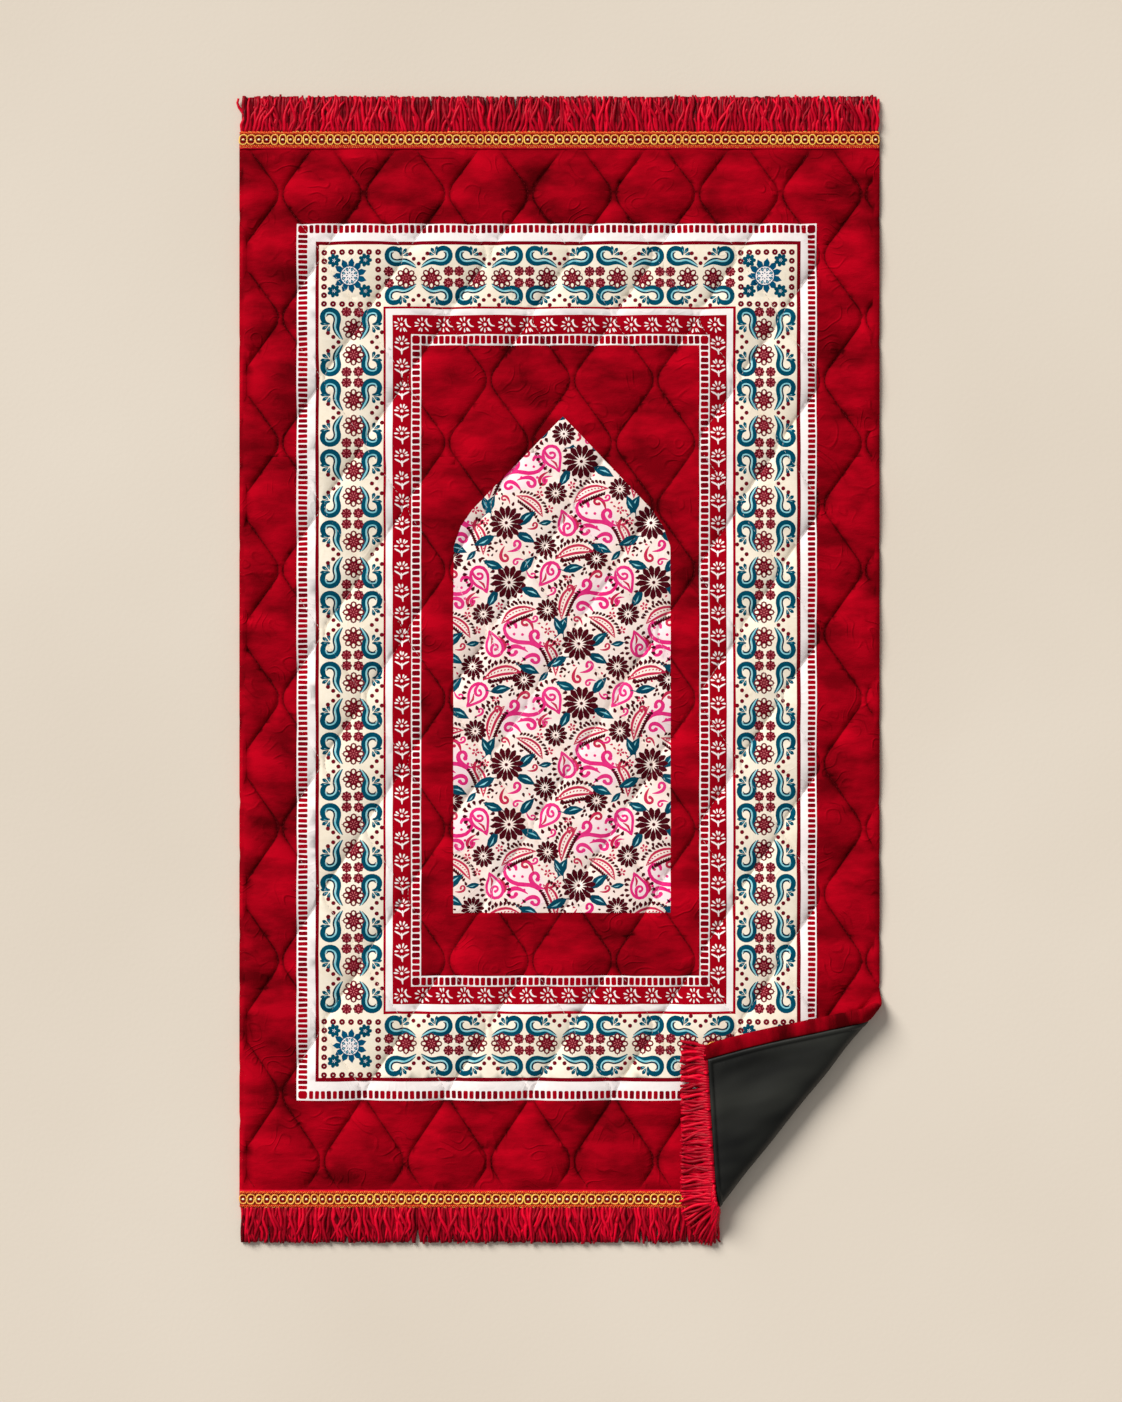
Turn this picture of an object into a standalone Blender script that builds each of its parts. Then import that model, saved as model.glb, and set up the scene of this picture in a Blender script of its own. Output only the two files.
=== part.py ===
"""Quilted velvet prayer rug, 650 x 1090 mm, lying flat with one corner folded over.

The rug lies face up on z = 0, its length along Y and its origin under its middle. Each flat
piece is modelled flat, scored across the fold and then bent, so that the folded corner shows
the black backing, the turned hem and the reverse of the fringe. Metres throughout.
"""

from math import cos, pi, radians, sin, sqrt

import bmesh
import bpy
from mathutils import Vector, noise

MM = 0.001

# The cloth
RUG_WIDTH = 650 * MM
RUG_LENGTH = 1090 * MM  # over the outer edges of the two braids
GAP = 0.3 * MM  # between pieces that touch
HEADING_DEPTH = 6 * MM  # the fringe's woven head, past the end of the cloth
CLOTH_END = RUG_LENGTH / 2 - HEADING_DEPTH  # half the length of the quilted cloth
HEM_WIDTH = 17.5 * MM
BACKING_THICKNESS = 1.2 * MM

# Quilting: stitched lines that zigzag down the rug and meet their mirror images
CELL_WIDTH = 84.5 * MM
ROW_PITCH = 62.25 * MM  # half a cell, at the top of the rug
ROW_DRIFT = 0.21 * MM  # each row is twice this much longer than the one above
FIRST_NODE = Vector((-29.5, 482)) * MM
SEAM_HEIGHT = 3.6 * MM
PUFF_HEIGHT = 9 * MM
EDGE_HEIGHT = 2.4 * MM
EDGE_ROUND = 15 * MM  # how far in from an edge the wadding is thinner
COLUMNS_PER_CELL = 6
STEPS_PER_ROW = 3
CELL_RANGE = (-12, 24)  # cells and rows that are looked at when the grid is laid out
RIM_CLEAR = 6 * MM  # no grid line comes nearer than this to the rim's own
RIM_WIDTH = 4 * MM

# Braids
BRAID_WIDTH = 15.6 * MM
BRAID_THICKNESS = 1.5 * MM
BRAID_GROOVE_DEPTH = 0.6 * MM
BRAID_GROOVE_WIDTH = 2.2 * MM
BRAID_RIB = 3 * MM  # half the middle rib
BRAID_SHOULDER = 0.4 * MM

# Fringes
STRANDS = 120  # at each end
STRAND_LENGTH = 38.5 * MM
STRAND_WIDTH = 3.2 * MM  # at its root
STRAND_SIZES = (2.8 * MM, 1.9 * MM)  # part way along, and at its tip
STRAND_STATIONS = (0.45, 1.0)  # where those are, as shares of its length
STRAND_INSET = 4.5 * MM  # the first strand from the side of the rug
STRAND_SWAY = radians(4)
STRAND_RAGGED = 0.08
SWAY_STEP = 0.31  # how fast the sway changes from strand to strand
RAGGED_STEP = 0.71
BOTTOM_PHASE = 40.0  # so that the two fringes differ
STRAND_DROOP = 1.15  # how soon a raised strand comes down to rest
FLAP_FRINGE_REACH = 0.74  # the folded fringe droops, so it reaches less far

# The fold: where it starts, its direction, and how the flap lies past it
FOLD_START = Vector((226.6, -442.8)) * MM  # half way along the fold
FOLD_ANGLE = radians(51.4)
FOLD_RADIUS = 12.5 * MM
FOLD_STEPS = 7
FLAP_LENGTH = 105 * MM
FLAP_STEPS = 4
FLAP_DROP = 6.4 * MM  # the free corner settles on to the rug
FLAP_REACH = 0.975
FLAP_STRETCH = 0.08  # velvet gives a little along the fold
FLAP_SLIDE = 12.5 * MM
FLAP_SKEW = 0.06
FLAP_FRINGE_HEIGHT = 9.6 * MM  # the folded strands lie on the quilting
FAN_LEFT = radians(184)  # the folded strands point left
FAN_DOWN = radians(272)  # those at the foot of the fold point down

ALONG = Vector((cos(FOLD_ANGLE), sin(FOLD_ANGLE)))
OUT = Vector((sin(FOLD_ANGLE), -cos(FOLD_ANGLE)))
ARC_LENGTH = pi * FOLD_RADIUS
SCORES = [ARC_LENGTH * i / FOLD_STEPS for i in range(FOLD_STEPS + 1)]
SCORES += [ARC_LENGTH + FLAP_LENGTH * i / FLAP_STEPS for i in range(1, FLAP_STEPS + 1)]


def smoothstep(t):
    """0 to 1 with a soft start and end."""
    t = min(max(t, 0), 1)
    return t * t * (3 - 2 * t)


# ---------------------------------------------------------------- the fold


def fold_coordinates(point):
    """How far a flat point lies along the fold, and out past its start."""
    from_start = point.xy - FOLD_START
    return from_start.dot(ALONG), from_start.dot(OUT)


def folded(along, out, height):
    """Where a point of the flat rug lies once the corner is folded over."""
    turn = min(out / ARC_LENGTH, 1) * pi
    past = max(out - ARC_LENGTH, 0)
    radius = FOLD_RADIUS - height
    reach = radius * sin(turn) - past * FLAP_REACH
    lift = FOLD_RADIUS - radius * cos(turn) - FLAP_DROP * smoothstep(past / FLAP_LENGTH)
    slide = smoothstep(out / ARC_LENGTH) * (FLAP_SLIDE + FLAP_STRETCH * along) + FLAP_SKEW * past
    plan = FOLD_START + OUT * reach + ALONG * (along + slide)
    return Vector((plan.x, plan.y, lift))


def folded_point(point):
    """Where a point of the flat rug goes; one short of the fold stays."""
    along, out = fold_coordinates(point)
    return folded(along, out, point.z) if out > 0 else point.copy()


def bent(point):
    """As folded_point, but straight between one score and the next, so that flat faces stay flat."""
    along, out = fold_coordinates(point)
    if out <= 0:
        return point.copy()
    after = next((s for s in SCORES if s >= out), SCORES[-1])
    if out >= SCORES[-1]:
        return folded(along, out, point.z)
    before = SCORES[SCORES.index(after) - 1]
    share = (out - before) / (after - before)
    return folded(along, before, point.z).lerp(folded(along, after, point.z), share)


def score_and_bend(bm):
    """Cut the flat mesh along every score, then fold it."""
    normal = Vector((OUT.x, OUT.y, 0))
    for score in SCORES:
        place = FOLD_START + OUT * score
        bmesh.ops.bisect_plane(
            bm,
            geom=bm.verts[:] + bm.edges[:] + bm.faces[:],
            dist=0.2 * MM,
            plane_co=(place.x, place.y, 0),
            plane_no=normal,
        )
    for vert in bm.verts:
        vert.co = bent(vert.co)


# ---------------------------------------------------------------- objects


def make_collection(name):
    collection = bpy.data.collections.new(name)
    bpy.context.scene.collection.children.link(collection)
    return collection


def make_material(name, colour, roughness, metallic=0.0):
    material = bpy.data.materials.new(name)
    material.use_nodes = True
    shader = material.node_tree.nodes["Principled BSDF"]
    shader.inputs["Base Color"].default_value = (*colour, 1)
    shader.inputs["Roughness"].default_value = roughness
    shader.inputs["Metallic"].default_value = metallic
    material.diffuse_color = (*colour, 1)
    return material


def make_object(name, bm, material, collection):
    """Turn a bmesh into one named, smoothly shaded object."""
    bmesh.ops.recalc_face_normals(bm, faces=bm.faces[:])
    if bm.calc_volume(signed=True) < 0:
        bmesh.ops.reverse_faces(bm, faces=bm.faces[:])
    mesh = bpy.data.meshes.new(name)
    bm.to_mesh(mesh)
    bm.free()
    mesh.materials.append(material)
    mesh.shade_smooth()
    mesh.set_sharp_from_angle(angle=radians(40))
    piece = bpy.data.objects.new(name, mesh)
    collection.objects.link(piece)
    return piece


def make_box(low, high):
    """A bmesh box between two corners."""
    bm = bmesh.new()
    bmesh.ops.create_cube(bm, size=1)
    for vert in bm.verts:
        vert.co = [low[k] if vert.co[k] < 0 else high[k] for k in range(3)]
    return bm


# ---------------------------------------------------------------- the quilted cloth


def row_place(row):
    """The y of a quilting row, counted down from the first."""
    return FIRST_NODE.y - ROW_PITCH * row - ROW_DRIFT * row * row


def row_at(y):
    """The quilting row at a y, the inverse of row_place."""
    below = FIRST_NODE.y - y
    return (sqrt(ROW_PITCH**2 + 4 * ROW_DRIFT * below) - ROW_PITCH) / (2 * ROW_DRIFT)


def cloth_top(x, y):
    """The height of the velvet: low along the stitched lines and full between them."""
    across = (x - FIRST_NODE.x) / CELL_WIDTH
    down = row_at(y) / 2
    puff = sqrt(abs(sin(pi * (across + down)) * sin(pi * (across - down))))
    inset = min(max((RUG_WIDTH / 2 - abs(x)) / EDGE_ROUND, 0), 1)
    side = sqrt(1 - (1 - inset) ** 2)
    end = smoothstep((RUG_LENGTH / 2 - BRAID_WIDTH - GAP - abs(y)) / EDGE_ROUND)
    full = SEAM_HEIGHT + (PUFF_HEIGHT - SEAM_HEIGHT) * puff * end
    return EDGE_HEIGHT + (full - EDGE_HEIGHT) * side


def lattice(first, last, place, steps):
    """Places on the quilting's own grid, kept clear of both ends."""
    start, stop = CELL_RANGE
    places = [place(i / steps) for i in range(start * steps, stop * steps)]
    return sorted(p for p in places if first + RIM_CLEAR < p < last - RIM_CLEAR)


def make_quilt(material, collection, cutters):
    """Velvet face and wadding in one, with the hem turned under along both long sides."""
    side = RUG_WIDTH / 2
    rim = side - RIM_WIDTH
    flat_end = RUG_LENGTH / 2 - BRAID_WIDTH - GAP
    columns = [-side, -rim]
    columns += lattice(-rim, rim, lambda c: FIRST_NODE.x + c * CELL_WIDTH, COLUMNS_PER_CELL)
    columns += [rim, side]
    rows = [-CLOTH_END, -flat_end]
    rows += lattice(-flat_end, flat_end, row_place, STEPS_PER_ROW)
    rows += [flat_end, CLOTH_END]

    bm = bmesh.new()
    wide, long = len(columns) - 1, len(rows) - 1
    bmesh.ops.create_grid(bm, x_segments=wide, y_segments=long, size=0.5)
    for vert in bm.verts:
        x = columns[round((vert.co.x + 0.5) * wide)]
        y = rows[round((vert.co.y + 0.5) * long)]
        vert.co = (x, y, cloth_top(x, y))
    crease_diagonals(bm)

    rim_edges = [edge for edge in bm.edges if edge.is_boundary]
    skirt = bmesh.ops.extrude_edge_only(bm, edges=rim_edges)["geom"]
    for vert in skirt:
        if isinstance(vert, bmesh.types.BMVert):
            vert.co.z = 0
    bmesh.ops.holes_fill(bm, edges=[edge for edge in bm.edges if edge.is_boundary])
    flat = make_object("quilt_flat", bm, material, cutters)

    recess_side = side - HEM_WIDTH
    low = (-recess_side, -RUG_LENGTH, -PUFF_HEIGHT)
    high = (recess_side, RUG_LENGTH, BACKING_THICKNESS + GAP)
    cutter = make_object("backing_recess", make_box(low, high), material, cutters)
    recess = flat.modifiers.new("backing_recess", "BOOLEAN")
    recess.operation = "DIFFERENCE"
    recess.object = cutter

    depsgraph = bpy.context.evaluated_depsgraph_get()
    cut = bpy.data.meshes.new_from_object(flat.evaluated_get(depsgraph))
    bm = bmesh.new()
    bm.from_mesh(cut)
    bmesh.ops.remove_doubles(bm, verts=bm.verts[:], dist=0.01 * MM)
    score_and_bend(bm)
    bpy.data.objects.remove(flat)
    bpy.data.objects.remove(cutter)
    bpy.data.meshes.remove(cut)
    return make_object("quilt", bm, material, collection)


def crease_diagonals(bm):
    """Split each face along the diagonal that keeps the stitched lines as valleys."""
    for face in bm.faces[:]:
        corners = [loop.vert for loop in face.loops]
        middle = face.calc_center_median()
        height = cloth_top(middle.x, middle.y)
        errors = []
        for pair in (0, 1):
            one, other = corners[pair], corners[pair + 2]
            errors.append(abs((one.co.z + other.co.z) / 2 - height))
        pair = 0 if errors[0] <= errors[1] else 1
        bmesh.utils.face_split(face, corners[pair], corners[pair + 2])


# ---------------------------------------------------------------- backing and braids


def make_backing(material, collection):
    """The non-slip sheet, level with the hems and folded with the cloth."""
    side = RUG_WIDTH / 2 - HEM_WIDTH - GAP
    bm = make_box((-side, -CLOTH_END, 0), (side, CLOTH_END, BACKING_THICKNESS))
    score_and_bend(bm)
    return make_object("backing", bm, material, collection)


def braid_profile():
    """The braid's section: two rails and a middle rib with grooves between them."""
    high, low = BRAID_THICKNESS, BRAID_THICKNESS - BRAID_GROOVE_DEPTH
    half = BRAID_WIDTH / 2
    rail = BRAID_RIB + BRAID_GROOVE_WIDTH
    right = [(BRAID_RIB, high), (BRAID_RIB + BRAID_SHOULDER, low)]
    right += [(rail, low), (rail + BRAID_SHOULDER, high)]
    right += [(half - BRAID_SHOULDER, high), (half, high - BRAID_SHOULDER), (half, 0)]
    left = [(-across, up) for across, up in reversed(right)]
    return left + right


def make_braid(name, end, material, collection):
    """A woven strip over the join of cloth and heading, at the top (1) or bottom (-1)."""
    middle = end * (RUG_LENGTH - BRAID_WIDTH) / 2
    base = SEAM_HEIGHT + GAP
    bm = bmesh.new()
    start = -RUG_WIDTH / 2
    profile = [bm.verts.new((start, middle + across, base + up)) for across, up in braid_profile()]
    section = bm.faces.new(profile)
    moved = bmesh.ops.extrude_face_region(bm, geom=[section])["geom"]
    tips = [item for item in moved if isinstance(item, bmesh.types.BMVert)]
    bmesh.ops.translate(bm, verts=tips, vec=(RUG_WIDTH, 0, 0))
    score_and_bend(bm)
    return make_object(name, bm, material, collection)


# ---------------------------------------------------------------- fringes


def strand_places():
    """The x of each strand, left to right."""
    first = -RUG_WIDTH / 2 + STRAND_INSET
    pitch = (RUG_WIDTH - 2 * STRAND_INSET) / (STRANDS - 1)
    return [first + pitch * i for i in range(STRANDS)]


def make_heading(end):
    """The strip that holds the strands, flat, with a face in front for each strand."""
    side = RUG_WIDTH / 2
    stops = [-side]
    for x in strand_places():
        stops += [x - STRAND_WIDTH / 2, x + STRAND_WIDTH / 2]
    stops.append(side)
    inner, outer = end * (CLOTH_END + GAP), end * RUG_LENGTH / 2
    bm = bmesh.new()
    wide = len(stops) - 1
    bmesh.ops.create_grid(bm, x_segments=wide, y_segments=1, size=0.5)
    for vert in bm.verts:
        x = stops[round((vert.co.x + 0.5) * wide)]
        vert.co = (x, outer if vert.co.y * end > 0 else inner, 0)
    raised = bmesh.ops.extrude_face_region(bm, geom=bm.faces[:])["geom"]
    tops = [item for item in raised if isinstance(item, bmesh.types.BMVert)]
    bmesh.ops.translate(bm, verts=tops, vec=(0, 0, SEAM_HEIGHT))
    return bm


def strand_course(index, x, end):
    """A strand's direction in plan, its length, and the height it comes to rest at."""
    along, out = fold_coordinates(Vector((x, end * RUG_LENGTH / 2)))
    phase = BOTTOM_PHASE if end < 0 else 0
    sway = STRAND_SWAY * noise.noise((index * SWAY_STEP + phase, 0.5, 0.5))
    ragged = abs(noise.noise((index * RAGGED_STEP + phase, 0, 0.5)))
    length = STRAND_LENGTH * (1 - STRAND_RAGGED * ragged)
    turn = min(max(out / ARC_LENGTH, 0), 1)
    down = radians(270) if end < 0 else radians(90)
    if turn == 0:
        return down + sway, length, 0
    if turn < 0.5:
        return down + (FAN_DOWN - down) * turn * 2, length, 0
    fan = smoothstep(turn * 2 - 1)  # 0 at the outermost strand, 1 on the flap
    rest = FLAP_FRINGE_HEIGHT * (1 + fan) / 2
    length *= 1 - (1 - FLAP_FRINGE_REACH) * fan
    return FAN_DOWN + (FAN_LEFT - FAN_DOWN) * fan + sway * fan / 2, length, rest


def section_axes(direction, upward, end):
    """Axes for a strand's section, nearest to its root's own, the first towards growing x."""
    ahead = Vector((cos(direction), sin(direction), 0))
    level = ahead.cross(Vector((0, 0, 1)))
    choices = [Vector((0, 0, 1)), Vector((0, 0, -1)), level, -level]
    up = max(choices, key=lambda axis: axis.dot(upward))
    return up.cross(ahead) * -end, up


def make_fringe(name, end, material, collection):
    """Strands of yarn side by side, each drawn out of the heading's front face."""
    bm = make_heading(end)
    outer = end * RUG_LENGTH / 2
    fronts = [face for face in bm.faces if all(abs(v.co.y - outer) < GAP / 10 for v in face.verts)]
    fronts.sort(key=lambda face: face.calc_center_median().x)
    roots = fronts[1::2]  # every second face is the gap between two strands
    sides = [strand_corners(root, x) for root, x in zip(roots, strand_places(), strict=True)]
    for vert in bm.verts:
        vert.co = folded_point(vert.co)
    for index, x in enumerate(strand_places()):
        draw_strand(bm, roots[index], sides[index], index, x, end)
    return make_object(name, bm, material, collection)


def strand_corners(root, x):
    """Which side and level each corner of a strand's root is on."""
    return [
        (1 if vert.co.x > x else -1, 1 if vert.co.z > SEAM_HEIGHT / 2 else -1)
        for vert in root.verts
    ]


def draw_strand(bm, root, corners, index, x, end):
    """Extrude one strand, ring by ring, from its place on the heading."""
    outer = end * RUG_LENGTH / 2
    direction, length, rest = strand_course(index, x, end)
    foot = folded_point(Vector((x, outer, SEAM_HEIGHT / 2)))
    upward = folded_point(Vector((x, outer, SEAM_HEIGHT))) - folded_point(Vector((x, outer, 0)))
    across, up = section_axes(direction, upward.normalized(), end)
    face = root
    on_floor = foot.z <= SEAM_HEIGHT / 2
    for station, size in zip(STRAND_STATIONS, STRAND_SIZES, strict=True):
        face = bmesh.ops.extrude_discrete_faces(bm, faces=[face])["faces"][0]
        settled = 1 if on_floor else smoothstep(station * STRAND_DROOP)
        centre = foot.copy()
        centre.x += cos(direction) * length * station
        centre.y += sin(direction) * length * station
        centre.z = foot.z * (1 - settled) + (rest + size / 2) * settled
        for vert, (sideways, level) in zip(face.verts, corners, strict=True):
            vert.co = centre + (across * sideways + up * level) * size / 2


# ---------------------------------------------------------------- the rug


def build_rug():
    for leftover in list(bpy.data.objects):
        bpy.data.objects.remove(leftover)
    rug = make_collection("prayer_rug")
    cutters = make_collection("cutters")
    velvet = make_material("velvet", (0.48, 0.004, 0.02), 0.75)
    rubber = make_material("black_backing", (0.012, 0.012, 0.011), 0.6)
    gold = make_material("gold_braid", (0.75, 0.36, 0.05), 0.4, 0.35)
    yarn = make_material("red_yarn", (0.5, 0.008, 0.035), 0.6)
    make_quilt(velvet, rug, cutters)
    make_backing(rubber, rug)
    for name, end in (("top", 1), ("bottom", -1)):
        make_braid(f"braid_{name}", end, gold, rug)
        make_fringe(f"fringe_{name}", end, yarn, rug)


build_rug()
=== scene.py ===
import random
from math import cos, pi, radians, sin, sqrt

import bpy
import numpy as np
from mathutils import Matrix, Vector, noise
from mathutils.geometry import delaunay_2d_cdt


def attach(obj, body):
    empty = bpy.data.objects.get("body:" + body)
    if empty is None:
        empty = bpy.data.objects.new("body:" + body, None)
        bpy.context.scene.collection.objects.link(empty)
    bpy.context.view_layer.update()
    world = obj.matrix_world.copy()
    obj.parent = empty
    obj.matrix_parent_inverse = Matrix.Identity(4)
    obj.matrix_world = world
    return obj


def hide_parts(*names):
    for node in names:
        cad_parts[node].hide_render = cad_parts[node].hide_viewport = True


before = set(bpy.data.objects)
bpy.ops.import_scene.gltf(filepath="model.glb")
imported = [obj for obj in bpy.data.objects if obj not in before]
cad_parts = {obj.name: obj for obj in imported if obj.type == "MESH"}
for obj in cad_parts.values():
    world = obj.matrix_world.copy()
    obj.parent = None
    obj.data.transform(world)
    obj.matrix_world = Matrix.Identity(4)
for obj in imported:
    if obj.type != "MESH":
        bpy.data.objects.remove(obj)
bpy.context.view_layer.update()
scene = bpy.context.scene

# Sizes are millimetres on the flat rug: x to the right, y towards the point of the niche.
# Every piece is drawn flat, then its corner is folded over, and it becomes metres last.
rug = {
    "halfWidth": 325,
    "halfLength": 545,  # to the outer edges of the braids
    "clothEnd": 539,
    "underBraid": 529.1,  # where the velvet goes flat to pass under the braid
}

fold = {
    "start": (226.6, -442.8),
    "angle": 51.4,
    "radius": 12.5,
    "flapLength": 105,
    "drop": 6.4,  # how far the free corner sinks on to the rug
    "reach": 1.01,
    "stretch": 0.08,
    "slide": 12.5,
    "skew": 0.12,
    "footSlide": 20,  # the fringed edge lies this much further down at the foot of the fold
    "footReach": 165,
    "scored": 190,  # how far past the turn the velvet's mesh has lines along the fold
    "halfLine": 900,  # half of a line that is long enough to cross the whole rug
}
foldStart = np.array(fold["start"])
alongFold = np.array((cos(radians(fold["angle"])), sin(radians(fold["angle"]))))
outOfFold = np.array((alongFold[1], -alongFold[0]))
arcLength = pi * fold["radius"]


def soft(t):
    t = np.clip(t, 0, 1)
    return t * t * (3 - 2 * t)


def foldPlace(flat):  # how far points lie along the fold, and out past its start
    away = np.asarray(flat, dtype=float)[:, :2] - foldStart
    return away @ alongFold, away @ outOfFold


def flapShare(flat):  # 0 on the floor, 1 once the cloth has turned over
    return soft(foldPlace(flat)[1] / arcLength)


def foldOver(flat):
    flat = np.asarray(flat, dtype=float)
    along, out = foldPlace(flat)
    turn = np.clip(out / arcLength, 0, 1) * pi
    past = np.maximum(out - arcLength, 0)
    radius = fold["radius"] - flat[:, 2]
    reach = radius * np.sin(turn) - past * fold["reach"]
    drop = fold["drop"] * soft(past / fold["flapLength"])
    lift = fold["radius"] - radius * np.cos(turn) - drop
    foot = (rug["halfLength"] + fold["start"][1]) / alongFold[1]
    give = fold["slide"] + fold["stretch"] * along
    give = give - fold["footSlide"] * soft(1 - (along + foot) / fold["footReach"])
    slide = soft(out / arcLength) * give + fold["skew"] * past
    plan = foldStart + np.outer(reach, outOfFold) + np.outer(along + slide, alongFold)
    return np.where((out > 0)[:, None], np.column_stack((plan, lift)), flat)


def foldLine(out):  # a line along the fold, this far out past its start
    middle = foldStart + outOfFold * out
    return middle - alongFold * fold["halfLine"], middle + alongFold * fold["halfLine"]


def scoreLines(step):  # lines across the flat rug that let a mesh bend over the fold
    lines = []
    out = 0.0
    while out < arcLength + fold["scored"]:
        lines.append(foldLine(out))
        out += step if out < arcLength - 0.1 else step * 4
    return lines


def clipLine(start, end, halfWide, halfLong):  # the part of a line inside a rectangle
    start, end = np.array(start, dtype=float), np.array(end, dtype=float)
    low, high = 0.0, 1.0
    for axis, half in ((0, halfWide), (1, halfLong)):
        move = end[axis] - start[axis]
        if abs(move) < 1e-9:
            if abs(start[axis]) > half:
                return None
            continue
        first, second = sorted(((-half - start[axis]) / move, (half - start[axis]) / move))
        low, high = max(low, first), min(high, second)
    if high - low < 1e-6:
        return None
    return start + (end - start) * low, start + (end - start) * high


def makePiece(name, points, faces, materials, picks=None, vectors=None, masks=None):
    mesh = bpy.data.meshes.new(name)
    mesh.from_pydata((np.asarray(points) * 0.001).tolist(), [], faces)
    for material in materials:
        mesh.materials.append(material)
    if picks is not None:
        mesh.polygons.foreach_set("material_index", np.asarray(picks, dtype=np.int32))
    for label, values in (vectors or {}).items():
        layer = mesh.attributes.new(label, "FLOAT_VECTOR", "POINT")
        layer.data.foreach_set("vector", np.asarray(values, dtype=np.float32).ravel())
    for label, values in (masks or {}).items():
        layer = mesh.attributes.new(label, "FLOAT", "POINT")
        layer.data.foreach_set("value", np.asarray(values, dtype=np.float32))
    mesh.shade_smooth()
    mesh.update()
    piece = bpy.data.objects.new(name, mesh)
    scene.collection.objects.link(piece)
    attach(piece, "root")
    return piece


# The quilting: stitched lines that zigzag down the rug, each beside its mirror image
quilting = {
    "cell": 84.5,
    "rowPitch": 62.25,
    "rowDrift": 0.21,
    "firstX": -29.5,
    "firstY": 482,
    "neckWidth": 5,
    "neckReach": 6,
    "corner": 0.1,  # how rounded the cells' corners are
    "seam": 3.6,
    "puff": 11.5,
    "roundness": 0.68,
    "calm": [  # the print stiffens the cloth: left, right, bottom, top, how much
        (-258, 252, -428, 443, 0.22), (-74, 76, -300, 190, 0.38),
    ],
    "edgeHeight": 2.4,
    "edgeRound": 15,
    "wrinkle": 0.55,
    "pucker": 0.35,
    "seamWidth": 0.75,  # how fast the painted shade, and the puckers, fade away from a seam
    "stitchedTo": 317,  # the stitching stops this far from the middle of the rug
}


def rowAt(y):
    below = quilting["firstY"] - y
    pitch, drift = quilting["rowPitch"], quilting["rowDrift"]
    return (np.sqrt(pitch**2 + 4 * drift * below) - pitch) / (2 * drift)


def bendUp(t, ease):  # 0 below 0, t above it, rounded between
    return np.clip(t + ease, 0, 2 * ease) ** 2 / (4 * ease) + np.maximum(t - ease, 0)


def swing(row):  # 0 where lines meet on even rows, 1 where they meet on odd rows
    pitch, neck, ease = quilting["rowPitch"], quilting["neckReach"], quilting["corner"]
    fromEven = 1 - np.abs(row % 2 - 1)
    ramp = (fromEven * pitch - neck) / (pitch - 2 * neck)
    return bendUp(ramp, ease) - bendUp(ramp - 1, ease)


def lineReach(row):  # from a column of even meetings out to its stitched lines
    neck = quilting["neckWidth"]
    return neck / 2 + (quilting["cell"] / 2 - neck) * swing(row)


def quiltTop(x, y):  # the velvet's height, and how near a stitched line it is
    cell, seam = quilting["cell"], quilting["seam"]
    reach = lineReach(rowAt(y))
    aside = np.abs((x - quilting["firstX"] + cell / 2) % cell - cell / 2)
    half = np.where(aside <= reach, reach, cell / 2 - reach)
    place = np.where(aside <= reach, aside, cell / 2 - aside) / half
    widest = (cell - quilting["neckWidth"]) / 2
    fill = np.clip(1 - place**2, 0, 1) ** quilting["roundness"] * (half / widest) ** 0.7
    for left, right, bottom, top, share in quilting["calm"]:
        inside = np.minimum(np.minimum(x - left, right - x), np.minimum(y - bottom, top - y))
        fill = fill + (1 - fill) * share * soft(inside / 12 + 0.5)
    end = soft((rug["underBraid"] - np.abs(y)) / quilting["edgeRound"])
    inset = np.clip((rug["halfWidth"] - np.abs(x)) / quilting["edgeRound"], 0, 1)
    side = np.sqrt(1 - (1 - inset) ** 2)
    full = seam + (quilting["puff"] - seam) * fill * end
    near = np.exp(-(1 - place) * half * 0.8 / quilting["seamWidth"]) * end
    return quilting["edgeHeight"] + (full - quilting["edgeHeight"]) * side, near


def stitchedLines(step):  # every stitched line, as points down the rug
    cell = quilting["cell"]
    y = np.arange(-rug["underBraid"], rug["underBraid"] + 0.1, step)
    reach = lineReach(rowAt(y))
    lines = []
    for column in range(-4, 6):
        middle = quilting["firstX"] + column * cell
        for way in (-1, 1):
            x = middle + way * reach
            keep = np.abs(x) < quilting["stitchedTo"]
            run = []
            for px, py, inside in zip(x, y, keep):
                if inside:
                    run.append((px, py))
                elif run:
                    lines.append(run)
                    run = []
            if run:
                lines.append(run)
    return [line for line in lines if len(line) > 2]


def wrinkles(x, y, near):  # soft creases in the nap, and puckers along the stitching
    values = []
    for px, py, beside in zip(x, y, near):
        broad = noise.noise((px / 34, py / 15, 0.3)) + 0.5 * noise.noise((px / 13, py / 8, 4.1))
        fine = noise.noise((px / 5.5, py / 4.5, 9.7))
        values.append(quilting["wrinkle"] * broad + quilting["pucker"] * fine * min(3 * beside, 1))
    return np.array(values)


# The print. An ink is a colour name, an outline on the flat rug, and the ink it is kept inside.
inks = []


def ink(colour, outline, within=None):
    inks.append((colour, [(float(x), float(y)) for x, y in outline], within))
    return len(inks) - 1


def spot(x, y, turn=0.0, size=1.0, flip=1, tall=1.0):  # a place for a motif
    shape = Matrix.Diagonal((size * flip, size * tall, 1, 1))
    return Matrix.Translation((x, y, 0)) @ Matrix.Rotation(turn, 4, "Z") @ shape


def holds(outline, x, y):  # counts the outline's edges that lie to the right of a point
    crossed = False
    for (x0, y0), (x1, y1) in zip(outline, outline[1:] + outline[:1]):
        if (y0 > y) != (y1 > y) and x < x0 + (x1 - x0) * (y - y0) / (y1 - y0):
            crossed = not crossed
    return crossed


def put(colour, where, outline, within=None):  # a motif wholly outside its ink is left out
    moved = [where @ Vector((x, y, 0)) for x, y in outline]
    if within is None or any(holds(inks[within][1], point.x, point.y) for point in moved):
        ink(colour, [(point.x, point.y) for point in moved], within)


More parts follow.
